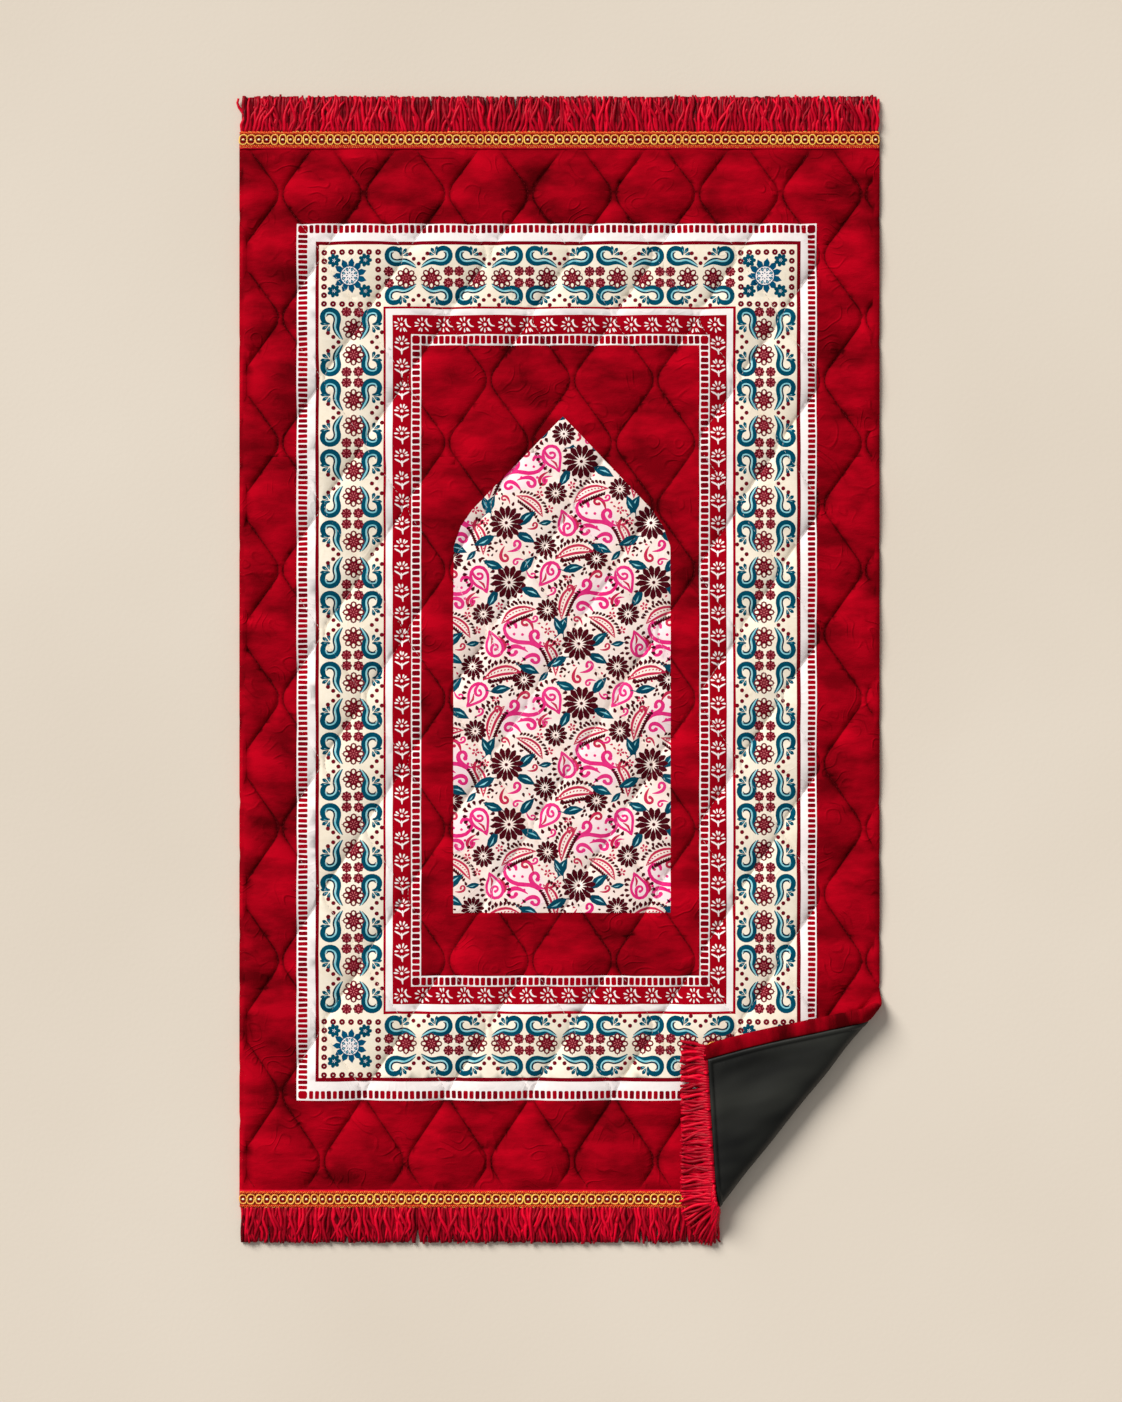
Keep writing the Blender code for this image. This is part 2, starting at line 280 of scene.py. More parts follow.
def ringPoints(count, radius, phase=0.0):
    turns = [phase + 2 * pi * k / count for k in range(count)]
    return [(radius * cos(turn), radius * sin(turn)) for turn in turns]


def scallops(count, sizes):  # a ring whose radius runs through the sizes over and over
    ring = []
    for k in range(count):
        size, turn = sizes[k % len(sizes)], 2 * pi * k / count
        ring.append((size * cos(turn), size * sin(turn)))
    return ring


def smoothThrough(points, steps=3, closed=False):  # a soft curve through rows of numbers
    rows = [np.array(point, dtype=float) for point in points]
    if closed:
        rows = [rows[-1], *rows, rows[0], rows[1]]
    else:
        rows = [2 * rows[0] - rows[1], *rows, 2 * rows[-1] - rows[-2]]
    curve = []
    for before, start, end, after in zip(rows, rows[1:], rows[2:], rows[3:]):
        for k in range(steps):
            t = k / steps
            bow = (2 * before - 5 * start + 4 * end - after) * t * t
            bow = bow + (3 * start - before - 3 * end + after) * t**3
            curve.append(0.5 * (2 * start + (end - before) * t + bow))
    if not closed:
        curve.append(rows[-2])
    return curve


def stroke(points, steps=2):  # a brush line through x, y, width rows
    curve = smoothThrough(points, steps)
    left, right = [], []
    for k, (x, y, width) in enumerate(curve):
        before, after = curve[max(k - 1, 0)], curve[min(k + 1, len(curve) - 1)]
        dx, dy = after[0] - before[0], after[1] - before[1]
        size = sqrt(dx * dx + dy * dy) or 1
        half = max(width, 0.12) / 2
        left.append((x - dy / size * half, y + dx / size * half))
        right.append((x + dy / size * half, y - dx / size * half))
    return left + right[::-1]


def drop(length, width, start=0.0):  # a drop or petal along u, round at its far end
    half = width / 2
    shape = [(0, 0), (0.36, 0.68), (0.74, 1), (1, 0.3), (1, -0.3), (0.74, -1), (0.36, -0.68)]
    return [(start + u * length, v * half) for u, v in shape]


def tick(length, width, start=0.0):  # a short brush mark along u
    half = width / 2
    return [(start + u * length, v * half) for u, v in ((0, 0), (0.7, 1), (1, 0), (0.7, -1))]


def turned(outline, angle, shift=(0, 0)):
    c, s = cos(angle), sin(angle)
    return [(shift[0] + u * c - v * s, shift[1] + u * s + v * c) for u, v in outline]


# Nested rectangles: left, right, bottom, top
frames = {
    "outerLadder": (-266.3, 260.4, -436.5, 451.7),
    "outerLine": (-247.1, 244.2, -417.3, 433.6),
    "scrollBand": (-243.7, 240.4, -413.4, 430.1),
    "innerLine": (-178.3, 178.4, -349.2, 367.4),
    "whiteBand": (-176.1, 175.7, -346.4, 365.2),
    "sprigBand": (-169.1, 169.2, -339.3, 358.8),
    "innerLadder": (-150.3, 152.2, -321.2, 339.4),
    "field": (-140.2, 141.7, -310.4, 328.3),
}
shake = random.Random(7)


def rectangle(colour, left, right, bottom, top):  # with the slight waver of a hand-cut screen
    waver, reach = 0.22, 21
    corners = [(left, bottom), (right, bottom), (right, top), (left, top)]
    outline = []
    for (x0, y0), (x1, y1) in zip(corners, corners[1:] + corners[:1]):
        count = max(int(max(abs(x1 - x0), abs(y1 - y0)) / reach), 1)
        for k in range(count):
            t = k / count
            off = shake.uniform(-waver, waver) if k else 0
            along = x1 != x0
            outline.append((x0 + (x1 - x0) * t + (0 if along else off),
                            y0 + (y1 - y0) * t + (off if along else 0)))
    return ink(colour, outline)


def block(x, y, wide, tall):  # one hand-cut block of a ladder
    colour = "brick" if shake.random() < 0.6 else "deepRed"
    cut = min(wide, tall) * 0.2
    w, h = wide / 2 * shake.uniform(0.94, 1.03), tall / 2 * shake.uniform(0.95, 1.02)
    lean = shake.uniform(-0.04, 0.04)
    shape = [(-w + cut, -h), (w - cut, -h), (w, -h + cut), (w, h - cut), (w - cut, h)]
    shape += [(-w + cut, h), (-w, h - cut), (-w, -h + cut)]
    put(colour, spot(x, y, lean), shape)


ladders = {
    "outer": {
        "left": (-264.8, -255.2), "right": (251.4, 259.1), "bottom": (-435.0, -426.6),
        "top": (441.9, 450.4), "pitchAcross": 6.04, "pitchUp": 5.2, "share": 0.74,
    },
    "inner": {
        "left": (-149.3, -141.3), "right": (142.9, 150.9), "bottom": (-320.0, -312.0),
        "top": (329.7, 338.1), "pitchAcross": 5.98, "pitchUp": 6.36, "share": 0.79,
    },
}


def drawLadder(size):
    (l0, l1), (r0, r1) = size["left"], size["right"]
    (b0, b1), (t0, t1) = size["bottom"], size["top"]
    for x0, x1 in ((l0, l1), (r0, r1)):
        for y0, y1 in ((b0, b1), (t0, t1)):
            block((x0 + x1) / 2, (y0 + y1) / 2, x1 - x0, y1 - y0)
    gap = size["pitchAcross"] * (1 - size["share"])
    count = round((r0 - l1 - gap) / size["pitchAcross"])
    pitch = (r0 - l1 - gap) / count
    for k in range(count):
        x = l1 + gap + pitch * (k + 0.5) - gap / 2
        for y0, y1 in ((b0, b1), (t0, t1)):
            block(x, (y0 + y1) / 2, pitch - gap, y1 - y0)
    gap = size["pitchUp"] * (1 - size["share"])
    count = round((t0 - b1 - gap) / size["pitchUp"])
    pitch = (t0 - b1 - gap) / count
    for k in range(count):
        y = b1 + gap + pitch * (k + 0.5) - gap / 2
        for x0, x1 in ((l0, l1), (r0, r1)):
            block((x0 + x1) / 2, y, x1 - x0, pitch - gap)


# One repeat of the scroll band, drawn round its own middle with v towards the rug's edge
scrollUnit = {
    "size": (71.5, 64),
    "numbers": (5, 10),  # along the short sides and along the long ones
    "boldness": 1.52,
    "paleness": 1.05,
    "leafGrowth": (1.2, 1.5),
    "outer": [
        (-18.2, 20.9, 0.9), (-18.6, 24.8, 2.5), (-21.5, 27.4, 3.2), (-25.6, 28.1, 3.7),
        (-29.6, 26.1, 3.9), (-31.6, 21.8, 4.0), (-30.8, 17.0, 4.0), (-27.2, 13.6, 3.9),
        (-22.2, 12.5, 3.5), (-17.0, 13.4, 3.1), (-12.0, 13.5, 2.8), (-7.2, 11.6, 2.2),
        (-2.6, 8.4, 0.6),
    ],
    "light": [
        (-25.4, 25.7, 0.5), (-28.6, 24.3, 1.2), (-29.3, 20.8, 1.5), (-28.0, 17.2, 1.5),
        (-24.8, 15.0, 1.5), (-20.0, 14.9, 1.4), (-14.6, 15.9, 1.7), (-9.4, 14.0, 1.9),
        (-4.8, 10.9, 1.0), (-3.0, 9.3, 0.4),
    ],
    "inner": [
        (-25.2, 24.3, 0.6), (-27.3, 23.0, 1.5), (-27.7, 20.2, 1.8), (-26.0, 17.5, 1.8),
        (-22.0, 16.5, 1.6), (-17.0, 17.6, 1.7), (-12.5, 17.1, 1.7), (-8.0, 14.9, 1.4),
        (-3.2, 10.9, 0.5),
    ],
    "leaves": [  # start u, v, angle, length, width
        (-17.6, 22.6, 97, 6.6, 2.3), (-16.6, 22.2, 58, 6.2, 2.6), (-16.0, 21.0, 18, 5.6, 2.5),
    ],
    "dotsAbove": [(0, 12.6), (5.0, 17.6), (8.9, 22.8)],
    "dotsBelow": [(0, -20.6), (5.4, -25.4), (9.9, -30.4)],
    "bigFlower": (12.9, -2.4),
    "smallFlowers": [(30.4, 4.5), (30.2, -7.3)],
}


def bigBandFlower(where, within):
    put("wine", where, ringPoints(12, 6.6), within)
    put("wine", where, turned([(0, -1.0), (3.4, 0), (0, 1.0)], pi / 2, (0, 8.8)), within)
    for k in range(8):
        angle = pi / 2 + k * pi / 4
        centre = (7.3 * cos(angle), 7.0 * sin(angle))
        loop = [(u * 3.9, v * 3.4) for u, v in ringPoints(8, 1)]
        put("wine", where, turned(loop, angle, centre), within)
    for k in range(8):
        angle = pi / 2 + k * pi / 4
        centre = (7.7 * cos(angle), 7.4 * sin(angle))
        loop = [(u * 2.1, v * 1.6) for u, v in ringPoints(6, 1)]
        put("cream", where, turned(loop, angle, centre), within)
        seed = tick(2.7, 1.1, 1.5)
        put("blossom", where, turned(seed, angle + pi / 8), within)
    put("blossom", where, ringPoints(5, 0.8), within)


def smallBandFlower(where, kind, within):
    put("wine", where, scallops(16, (5.6, 4.6)), within)
    if kind:
        put("blossom", where, [(u * 2.1, v * 1.5) for u, v in ringPoints(8, 1)], within)
        put("wine", where, ringPoints(5, 0.8), within)
        for k in range(7):
            seed = tick(1.5, 1.2, 2.8)
            put("blossom", where, turned(seed, 2 * pi * k / 7), within)
    else:
        for k in range(8):
            seed = tick(3.0, 1.0, 1.3)
            put("blossom", where, turned(seed, pi / 8 + k * pi / 4), within)


def drawScrollUnit(where, within):
    bold = [(u, v, width * scrollUnit["boldness"]) for u, v, width in scrollUnit["outer"]]
    pale = [(u, v, width * scrollUnit["paleness"]) for u, v, width in scrollUnit["light"]]
    longer, wider = scrollUnit["leafGrowth"]
    for across in (-1, 1):
        for up in (-1, 1):
            side = where @ Matrix.Diagonal((-across, up, 1, 1))
            put("teal", side, stroke(bold), within)
            put("sky", side, stroke(pale), within)
            put("deepTeal", side, stroke(scrollUnit["inner"]), within)
            for u, v, angle, length, width in scrollUnit["leaves"]:
                blade = drop(length * longer, width * wider)
                put("teal", side, turned(blade, radians(angle), (u, v)), within)
                gleam = tick(length * 0.5, width * 0.3, length * 0.2)
                put("sky", side, turned(gleam, radians(angle), (u, v)), within)
    for across in (-1, 1):
        side = where @ Matrix.Diagonal((across, 1, 1, 1))
        for u, v in scrollUnit["dotsAbove"] + scrollUnit["dotsBelow"]:
            if u or across > 0:
                put("wine", side, [(u + x, v + y) for x, y in ringPoints(7, 2.25)], within)
        u, v = scrollUnit["bigFlower"]
        bigBandFlower(side @ spot(u, v), within)
        for kind, (u, v) in enumerate(scrollUnit["smallFlowers"]):
            smallBandFlower(side @ spot(u, v), kind, within)


cornerStar = {
    "points": 11,
    "tip": 17.8,
    "dip": 9.8,
    "shoulder": (0.11, 0.78),  # how far round from the dip a point is full, and its reach there
    "rosette": 9.2,
    "shift": -1.5,
    "blooms": (15.9, 15.5),
    "bloom": (7.0, 6.5, 4.9, 6.5),
    "margin": 4.6,
    "dots": 7,  # along each side of the corner
    "dotRadii": {"wine": 3.15, "cream": 0.6},
    "dotSpan": (0.975, 0.98),
    "dotDrop": 2.6,
}


def drawCorner(where, halfU, halfV, within):
    last = cornerStar["dots"] - 1
    spanU, spanV = cornerStar["dotSpan"]
    for i in range(last + 1):
        for k in range(last + 1):
            if 0 < i < last and 0 < k < last:
                continue
            u = (2 * i / last - 1) * halfU * spanU
            v = (2 * k / last - 1) * halfV * spanV - cornerStar["dotDrop"]
            for colour, radius in cornerStar["dotRadii"].items():
                loop = ringPoints(8, radius, shake.uniform(0, 1))
                put(colour, where, [(u + x, v + y) for x, y in loop], within)
    star = []
    where = where @ spot(cornerStar["shift"], 0)
    dip, tip = cornerStar["dip"], cornerStar["tip"]
    start, reach = cornerStar["shoulder"]
    for k in range(cornerStar["points"]):
        for part, size in ((0, dip), (start, tip * reach), (0.5, tip), (1 - start, tip * reach)):
            angle = 2 * pi * (k + part) / cornerStar["points"]
            star.append((size * cos(angle), size * sin(angle)))
    put("starBlue", where, star, within)
    put("white", where, ringPoints(20, cornerStar["rosette"]), within)
    for k in range(8):
        angle = 2 * pi * (k + 0.5) / 8
        put("starBlue", where, turned(drop(4.4, 3.2, 4.2), angle), within)
        put("sky", where, turned(drop(2.2, 1.0, 5.4), angle), within)
        put("starBlue", where, turned(tick(2.4, 1.3, 1.6), angle + pi / 8), within)
        put("starBlue", where, turned(tick(1.8, 2.2, 6.4), angle + pi / 8), within)
    bloomU, bloomV = cornerStar["blooms"]
    for u in (-bloomU, bloomU):
        for v in (-bloomV, bloomV):
            bloom = where @ spot(u, v)
            put("teal", bloom, scallops(28, cornerStar["bloom"]), within)
            for k in range(5):
                put("white", bloom, turned(drop(2.0, 0.7), 2 * pi * k / 5), within)


# A small burst: ticks round a dot, with a bowed leaf on the side that it grows from
sprig = {
    "number": 16,  # along each short side
    "size": 1.16,
    "shift": 1.4,
    "tickAngles": (52, 88, 124, 160, 196, 232, 268, 304),
    "tick": (3.9, 1.5, 2.9),  # length, width, start
    "leaf": [(3.6, 4.4, 0.9), (3.6, 1.6, 1.5), (5.4, -0.8, 1.5), (8.4, -1.6, 0.6)],
    "stem": [(2.6, -2.6, 0.5), (4.0, -4.4, 1.2), (5.2, -5.8, 0.5)],
    "fanNumber": 29,  # those on the long sides stand upright
    "fanShift": 2.0,
    "fanAngles": (4, 40, 73, 107, 140, 176),
    "fanLeaf": [(7.2, -3.0, 0.8), (4.6, -4.3, 1.8), (2.2, -5.6, 1.6), (0.3, -7.4, 0.9)],
    "fanStem": [(0, -4.6, 1.2), (0.2, -8.0, 1.8), (0.4, -11.0, 0.9)],
}


def drawUprightSprig(where):
    put("white", where, ringPoints(7, 1.6))
    for angle in sprig["fanAngles"]:
        turn = radians(angle + shake.uniform(-7, 7))
        put("white", where, turned(drop(4.8 * shake.uniform(0.85, 1.1), 2.0, 2.9), turn))
    for side in (where, where @ Matrix.Diagonal((-1, 1, 1, 1))):
        put("white", side, stroke(sprig["fanLeaf"]))
    put("white", where, stroke(sprig["fanStem"]))


def drawSprig(where):
    put("white", where, ringPoints(7, 1.35))
    length, width, start = sprig["tick"]
    for angle in sprig["tickAngles"]:
        turn = radians(angle + shake.uniform(-7, 7))
        put("white", where, turned(drop(length * shake.uniform(0.85, 1.1), width, start), turn))
    for name in ("leaf", "stem"):
        put("white", where, stroke(sprig[name]))


def drawScrollBand(cream):  # scrolls along the four sides, and a star in each corner
    left, right, bottom, top = frames["scrollBand"]
    innerLeft, innerRight, innerBottom, innerTop = frames["innerLine"]
    unitWide, unitTall = scrollUnit["size"]
    numberAcross, numberUp = scrollUnit["numbers"]
    across = (innerRight - innerLeft) / numberAcross
    for k in range(numberAcross):
        x = innerLeft + across * (k + 0.5)
        for edge, inner, turn in ((top, innerTop, 0), (bottom, innerBottom, pi)):
            tall = abs(edge - inner) / unitTall
            drawScrollUnit(spot(x, (edge + inner) / 2, turn, across / unitWide, tall=tall), cream)
    up = (innerTop - innerBottom) / numberUp
    for k in range(numberUp):
        y = innerBottom + up * (k + 0.5)
        for edge, inner, turn in ((left, innerLeft, pi / 2), (right, innerRight, -pi / 2)):
            tall = abs(edge - inner) / unitTall
            drawScrollUnit(spot((edge + inner) / 2, y, turn, up / unitWide, tall=tall), cream)
    margin = cornerStar["margin"]
    for edgeX, innerX in ((left, innerLeft), (right, innerRight)):
        for edgeY, innerY in ((bottom, innerBottom), (top, innerTop)):
            middle = spot((edgeX + innerX) / 2, (edgeY + innerY) / 2)
            halfU, halfV = abs(edgeX - innerX) / 2 - margin, abs(edgeY - innerY) / 2 - margin
            drawCorner(middle, halfU, halfV, cream)


def drawSprigBand():
    left, right, bottom, top = frames["sprigBand"]
    innerLeft, innerRight, innerBottom, innerTop = frames["innerLadder"]
    count = sprig["number"]
    for k in range(count):
        x = left + (right - left) * (k + 0.5) / count - sprig["shift"]
        for y in ((top + innerTop) / 2, (bottom + innerBottom) / 2):
            drawSprig(spot(x, y, shake.uniform(-0.1, 0.1), sprig["size"]))
    count = sprig["fanNumber"]
    for k in range(count):
        y = innerBottom + (innerTop - innerBottom) * (k + 0.5) / count + sprig["fanShift"]
        for x in ((left + innerLeft) / 2, (right + innerRight) / 2):
            drawUprightSprig(spot(x, y, shake.uniform(-0.08, 0.08)))


def drawBorders():  # from the outside in, each over the last
    rectangle("white", *frames["outerLadder"])
    drawLadder(ladders["outer"])
    rectangle("deepRed", *frames["outerLine"])
    drawScrollBand(rectangle("cream", *frames["scrollBand"]))
    rectangle("brick", *frames["innerLine"])
    rectangle("white", *frames["whiteBand"])
    rectangle("brick", *frames["sprigBand"])
    drawSprigBand()
    rectangle("white", *frames["innerLadder"])
    drawLadder(ladders["inner"])
    return rectangle("velvet", *frames["field"])


# The niche and the spray of flowers in it: one repeat, laid in rows that step half a repeat
niche = {
    "outline": [
        (3.4, 256.2), (-36.0, 216.0), (-74.6, 176.2), (-88.5, 161.5), (-99.6, 145.5),
        (-107.2, 124.5), (-107.6, 60), (-107.6, -100), (-107.6, -246.7), (0, -246.2),
        (112.6, -246.7), (112.6, -100), (112.6, 60), (112.2, 124.5), (104.8, 145.5),
        (94.0, 161.5), (80.0, 176.2), (42.0, 216.0),
    ],
    "repeat": (146.5, 122.5),
    "first": (3.4, -6.0),
    "bigDaisies": [(16, 32, 14, 0.1), (92, 94, 13, 0.3)],  # x, y, petals, turn
    "smallDaisies": [(55, 9, 13, 0.0), (66, 62, 13, 0.2), (131, 66, 13, 0.1), (34, 118, 13, 0.3)],
    "daisySizes": {"bigDaisies": (17.2, 17.0), "smallDaisies": (11.8, 12.0)},  # radius, room
    "apexDaisy": (4.4, 238.4),
    "apexSizes": (12.2, 14.4),  # the daisy, and the pale ground under it
    "sprays": [(32, 84, 15, 1.15, 1), (108, 34, -28, 1.2, -1)],
    "paisleys": [(62, 98, 28, 1.15, 1), (76, 30, 195, 1.1, -1), (132, 104, -35, 1.15, 1)],
    "feathers": [
        (84, 4, 12, 1.05, 1), (137, 18, -70, 0.95, -1), (2, 76, 66, 1.0, 1),
        (100, 64, 22, 1.0, -1), (42, 52, -38, 0.9, 1),
    ],
    "leaves": [  # x, y, angle, size
        (36, 36, 40, 1.3), (35, 17, -25, 1.25), (-4, 50, 118, 1.15), (-6, 14, 205, 1.3),
        (75, 78, 240, 1.2), (114, 84, -25, 1.3), (76, 112, 160, 1.2), (110, 112, 50, 1.25),
        (146, 50, 65, 1.2), (112, 6, -20, 1.25), (10, 108, 10, 1.2),
    ],
    "fillings": [  # what goes into the gaps that are left, the widest first: radius, number
        ("curl", 7.0, 12), ("leaf", 6.2, 5), ("smallCurl", 4.7, 18), ("bud", 3.8, 8),
        ("seed", 2.1, 84), ("fleck", 1.5, 80),
    ],
    "tries": 700,
}
petalShares = {"width": 0.74, "length": 0.78, "start": 0.22, "heart": 0.11}  # of a daisy's size


def daisy(where, radius, petals, within):
    width = 2 * pi * radius / petals * petalShares["width"]
    petal = drop(radius * petalShares["length"], width, radius * petalShares["start"])
    for k in range(petals):
        put("cocoa", where, turned(petal, 2 * pi * k / petals), within)
    put("cocoa", where, ringPoints(6, radius * petalShares["heart"]), within)


def nicheLeaf(where, within):
    blade = [(-8.6, 0), (-5.5, 2.6), (-1.0, 4.2), (3.4, 3.4), (6.6, 1.4), (9.4, -0.3)]
    blade += [(5.6, -2.0), (1.2, -3.5), (-3.4, -3.1), (-6.6, -1.5)]
    put("leaf", where, blade, within)
    put("sky", where, [(-3.2, 0.1), (1.2, 1.6), (5.4, 0.6), (1.6, 0.3)], within)
    put("leaf", where, [(-8.2, 0.4), (-12.0, 2.2), (-12.4, 1.4), (-8.2, -0.5)], within)


def curl(where, colour, within):  # a round scroll with a knob at its heart
    line = [(-1.6, -0.6, 3.0), (-0.2, 1.6, 2.8), (2.6, 2.2, 2.7), (4.6, 0.2, 2.8)]
    line += [(4.0, -3.0, 3.2), (1.0, -4.8, 3.7), (-3.0, -4.6, 3.5), (-7.4, -2.4, 2.5)]
    line += [(-11.4, 1.0, 0.6)]
    put(colour, where, stroke(line), within)
    put(colour, where, [(x - 1.4, y) for x, y in ringPoints(6, 2.0)], within)


def nicheSpray(where, within):
    halo = [(-22, -4), (-14, 8), (-4, 15), (8, 13), (22, 14), (25, 4), (18, -8), (6, -18)]
    halo += [(-6, -14), (-18, -16)]
    put("blush", where, smoothThrough(halo, 2, closed=True), within)
    stem = [(-20, -3, 1.2), (-13, 1.5, 2.8), (-4, 1.0, 3.4), (5, -3.0, 3.6), (14, -3.4, 3.2)]
    stem += [(20.5, 1.5, 2.8), (20.0, 7.5, 2.8), (14.6, 9.6, 3.4), (11.6, 6.4, 1.8)]
    put("magenta", where, stroke(stem), within)
    curls = [
        (-6.5, 9.0, 0.5, 1.05, 1, "magenta"), (3.6, -12.0, -0.6, 1.0, -1, "magenta"),
        (-14.0, -10.4, 2.6, 0.95, 1, "magenta"), (6.4, 13.5, 0.2, 0.8, -1, "rose"),
        (16.4, -13.0, -2.2, 0.8, 1, "rose"), (-20.6, 8.4, 1.4, 0.7, 1, "rose"),
    ]
    for u, v, turn, size, tall, colour in curls:
        curl(where @ spot(u, v, turn, size, tall=tall), colour, within)
    for u, v in ((11, 1.4), (4.6, 4.4), (16.8, 4.6), (-12, 5.4), (11.5, -8.6), (-2, -5)):
        put("magenta", where, [(u + x, v + y) for x, y in ringPoints(5, 1.4)], within)


def nichePaisley(where, within):
    body = [(0, -15), (5.4, -8), (9.4, -0.5), (8.6, 7.2), (2.4, 11.4), (-4.6, 9.4)]
    body += [(-7.8, 3.0), (-6.4, -4.4), (-2.4, -10.4)]
    outline = smoothThrough(body, 2, closed=True)
    put("magenta", where, outline, within)
    put("blush", where, [(x * 0.7 + 0.2, y * 0.74 + 0.1) for x, y in outline], within)
    curl(where @ spot(1.4, 3.0, -1.1, 0.76), "magenta", within)
    put("rose", where, stroke([(0, -11, 0.6), (0.6, -6, 2.2), (-1.8, -1.4, 0.6)]), within)
    ticks = smoothThrough([(x * 1.3, y * 1.25 + 0.6) for x, y in body], 4, closed=True)
    for k in range(2, len(ticks) - 4, 2):
        point, after = ticks[k], ticks[k + 1]
        away = np.arctan2(after[1] - point[1], after[0] - point[0]) - pi / 2
        put("cocoa", where, turned(drop(4.6, 3.3, -1.6), away, point), within)


def nicheFeather(where, within):
    spine = smoothThrough([(-19, -4.5), (-10, -1.0), (0, 0.6), (10, -0.6), (18, -4.6)])
    upper = [(-19, -4.6, 0.6), (-9, 2.2, 2.3), (1, 4.2, 2.6), (10, 2.4, 2.3), (19, -5, 0.6)]
    lower = [(-19, -4.6, 0.6), (-9, -3.4, 2.3), (1, -3.0, 2.6), (10, -4.0, 2.3), (19, -5, 0.6)]
    for blade in (upper, lower):
        put("rose", where, stroke(blade), within)
    for k in range(1, len(spine) - 1):
        point, after = spine[k], spine[k + 1]
        way = np.arctan2(after[1] - point[1], after[0] - point[0])
        reach = 1.6 + 4.6 * sin(pi * k / len(spine)) ** 0.6
        for side in (-1, 1):
            foot = (point[0] - sin(way) * side * reach, point[1] + cos(way) * side * reach)
            mark = drop(4.8, 3.2, -0.4)
            put("cocoa", where, turned(mark, way + side * 1.05, foot), within)
        put("rose", where, turned(drop(2.4, 1.5, -1), way + 0.5, point), within)


def nicheBud(where, within):
    for k in range(5):
        put("rose", where, turned(drop(3.6, 2.5, 0.5), 2 * pi * k / 5), within)
    put("petal", where, ringPoints(5, 0.7), within)


def drawFilling(kind, where, shade, within):
    if kind == "curl":
        curl(where @ spot(1.5, 1.4, 0, 0.95), "magenta" if shade else "rose", within)
    elif kind == "smallCurl":
        curl(where @ spot(1.5, 1.4, 0, 0.66), "rose" if shade else "magenta", within)
    elif kind == "leaf":
        nicheLeaf(where @ spot(0.8, 0, 0, 0.78), within)
    elif kind == "bud":
        nicheBud(where, within)
    elif kind == "seed":
        put("cocoa", where, drop(4.8, 3.1, -2.4), within)
    else:
        put("cocoa" if shade else "rose", where, drop(3.4, 2.2, -1.6), within)


keepOut = {  # the room that a motif takes: circles in its own place, as u, v, radius
    "spray": [(-14, -7, 8), (-6, 7, 9), (8, 9, 8), (17, 3, 8), (4, -9, 9)],
    "paisley": [(0, -9, 7.5), (0.5, 2, 13)],
    "feather": [(-14, -2, 6), (-5, 0, 8), (5, 0, 8), (14, -2, 6)],
    "leaf": [(-5, 0.4, 3.8), (3, 0, 4.6)],
}


def fillGaps(taken, chance):  # places for the small motifs, none on top of another
    wide, tall = niche["repeat"]
    shifts = [(0, 0), (wide, 0), (-wide, 0), (wide / 2, tall), (-wide / 2, tall),
              (wide / 2, -tall), (-wide / 2, -tall)]
    places = []
    for kind, radius, most in niche["fillings"]:
        found = 0
        for _ in range(niche["tries"]):
            if found == most:
                break
            x, y = chance.uniform(0, wide), chance.uniform(0, tall)
            turn, shade = chance.uniform(0, 2 * pi), chance.random() < 0.5
            near = [1 for u, v, room in taken for dx, dy in shifts
                    if (x + dx - u) ** 2 + (y + dy - v) ** 2 < (radius + room) ** 2]
            if not near:
                found += 1
                taken.append((x, y, radius))
                places.append((kind, x, y, turn, shade))
    return places


def takenBy(kind, x, y, turn, size, flip=1):
    where = spot(x, y, radians(turn), size, flip)
    circles = [(where @ Vector((u, v, 0)), radius * size) for u, v, radius in keepOut[kind]]
    return [(middle.x, middle.y, radius) for middle, radius in circles]


def drawNiche():
    ground = ink("petal", niche["outline"])
    wide, tall = niche["repeat"]
    taken = []
    for kind, (_, room) in niche["daisySizes"].items():
        taken += [(x, y, room) for x, y, _, _ in niche[kind]]
    for kind in ("spray", "paisley", "feather"):
        for row in niche[kind + "s"]:
            taken += takenBy(kind, *row)
    for row in niche["leaves"]:
        taken += takenBy("leaf", *row)
    fillings = fillGaps(taken, random.Random(23))
    for row in range(-3, 3):
        for column in range(-2, 3):
            x0 = niche["first"][0] + column * wide + (row % 2) * wide / 2
            y0 = niche["first"][1] + row * tall
            cell = spot(x0, y0)
            for x, y, turn, size, flip in niche["sprays"]:
                nicheSpray(cell @ spot(x, y, radians(turn), size, flip), ground)
            for kind, x, y, turn, shade in fillings:
                drawFilling(kind, cell @ spot(x, y, turn), shade, ground)
            for x, y, turn, size, flip in niche["feathers"]:
                nicheFeather(cell @ spot(x, y, radians(turn), size, flip), ground)
            for x, y, turn, size, flip in niche["paisleys"]:
                nichePaisley(cell @ spot(x, y, radians(turn), size, flip), ground)
            for x, y, turn, size in niche["leaves"]:
                nicheLeaf(cell @ spot(x, y, radians(turn), size), ground)
            for kind in ("smallDaisies", "bigDaisies"):
                for x, y, petals, turn in niche[kind]:
                    daisy(cell @ spot(x, y, turn), niche["daisySizes"][kind][0], petals, ground)
    apex = spot(*niche["apexDaisy"])
    radius, groundRadius = niche["apexSizes"]
    put("petal", apex, ringPoints(16, groundRadius), ground)
    daisy(apex, radius, 13, ground)


fieldInk = drawBorders()
drawNiche()
print(f"print drawn: {len(inks)} inks")


# Shader tools
def feed(tree, node, values):  # numbers are set, sockets are linked
    for label, value in values.items():
        if isinstance(value, bpy.types.NodeSocket):
            tree.links.new(value, node.inputs[label])
        else:
            node.inputs[label].default_value = value
    return node


def addNode(tree, kind, values=None, **settings):
    node = tree.nodes.new(kind)
    for label, value in settings.items():
        setattr(node, label, value)
    return feed(tree, node, values or {})


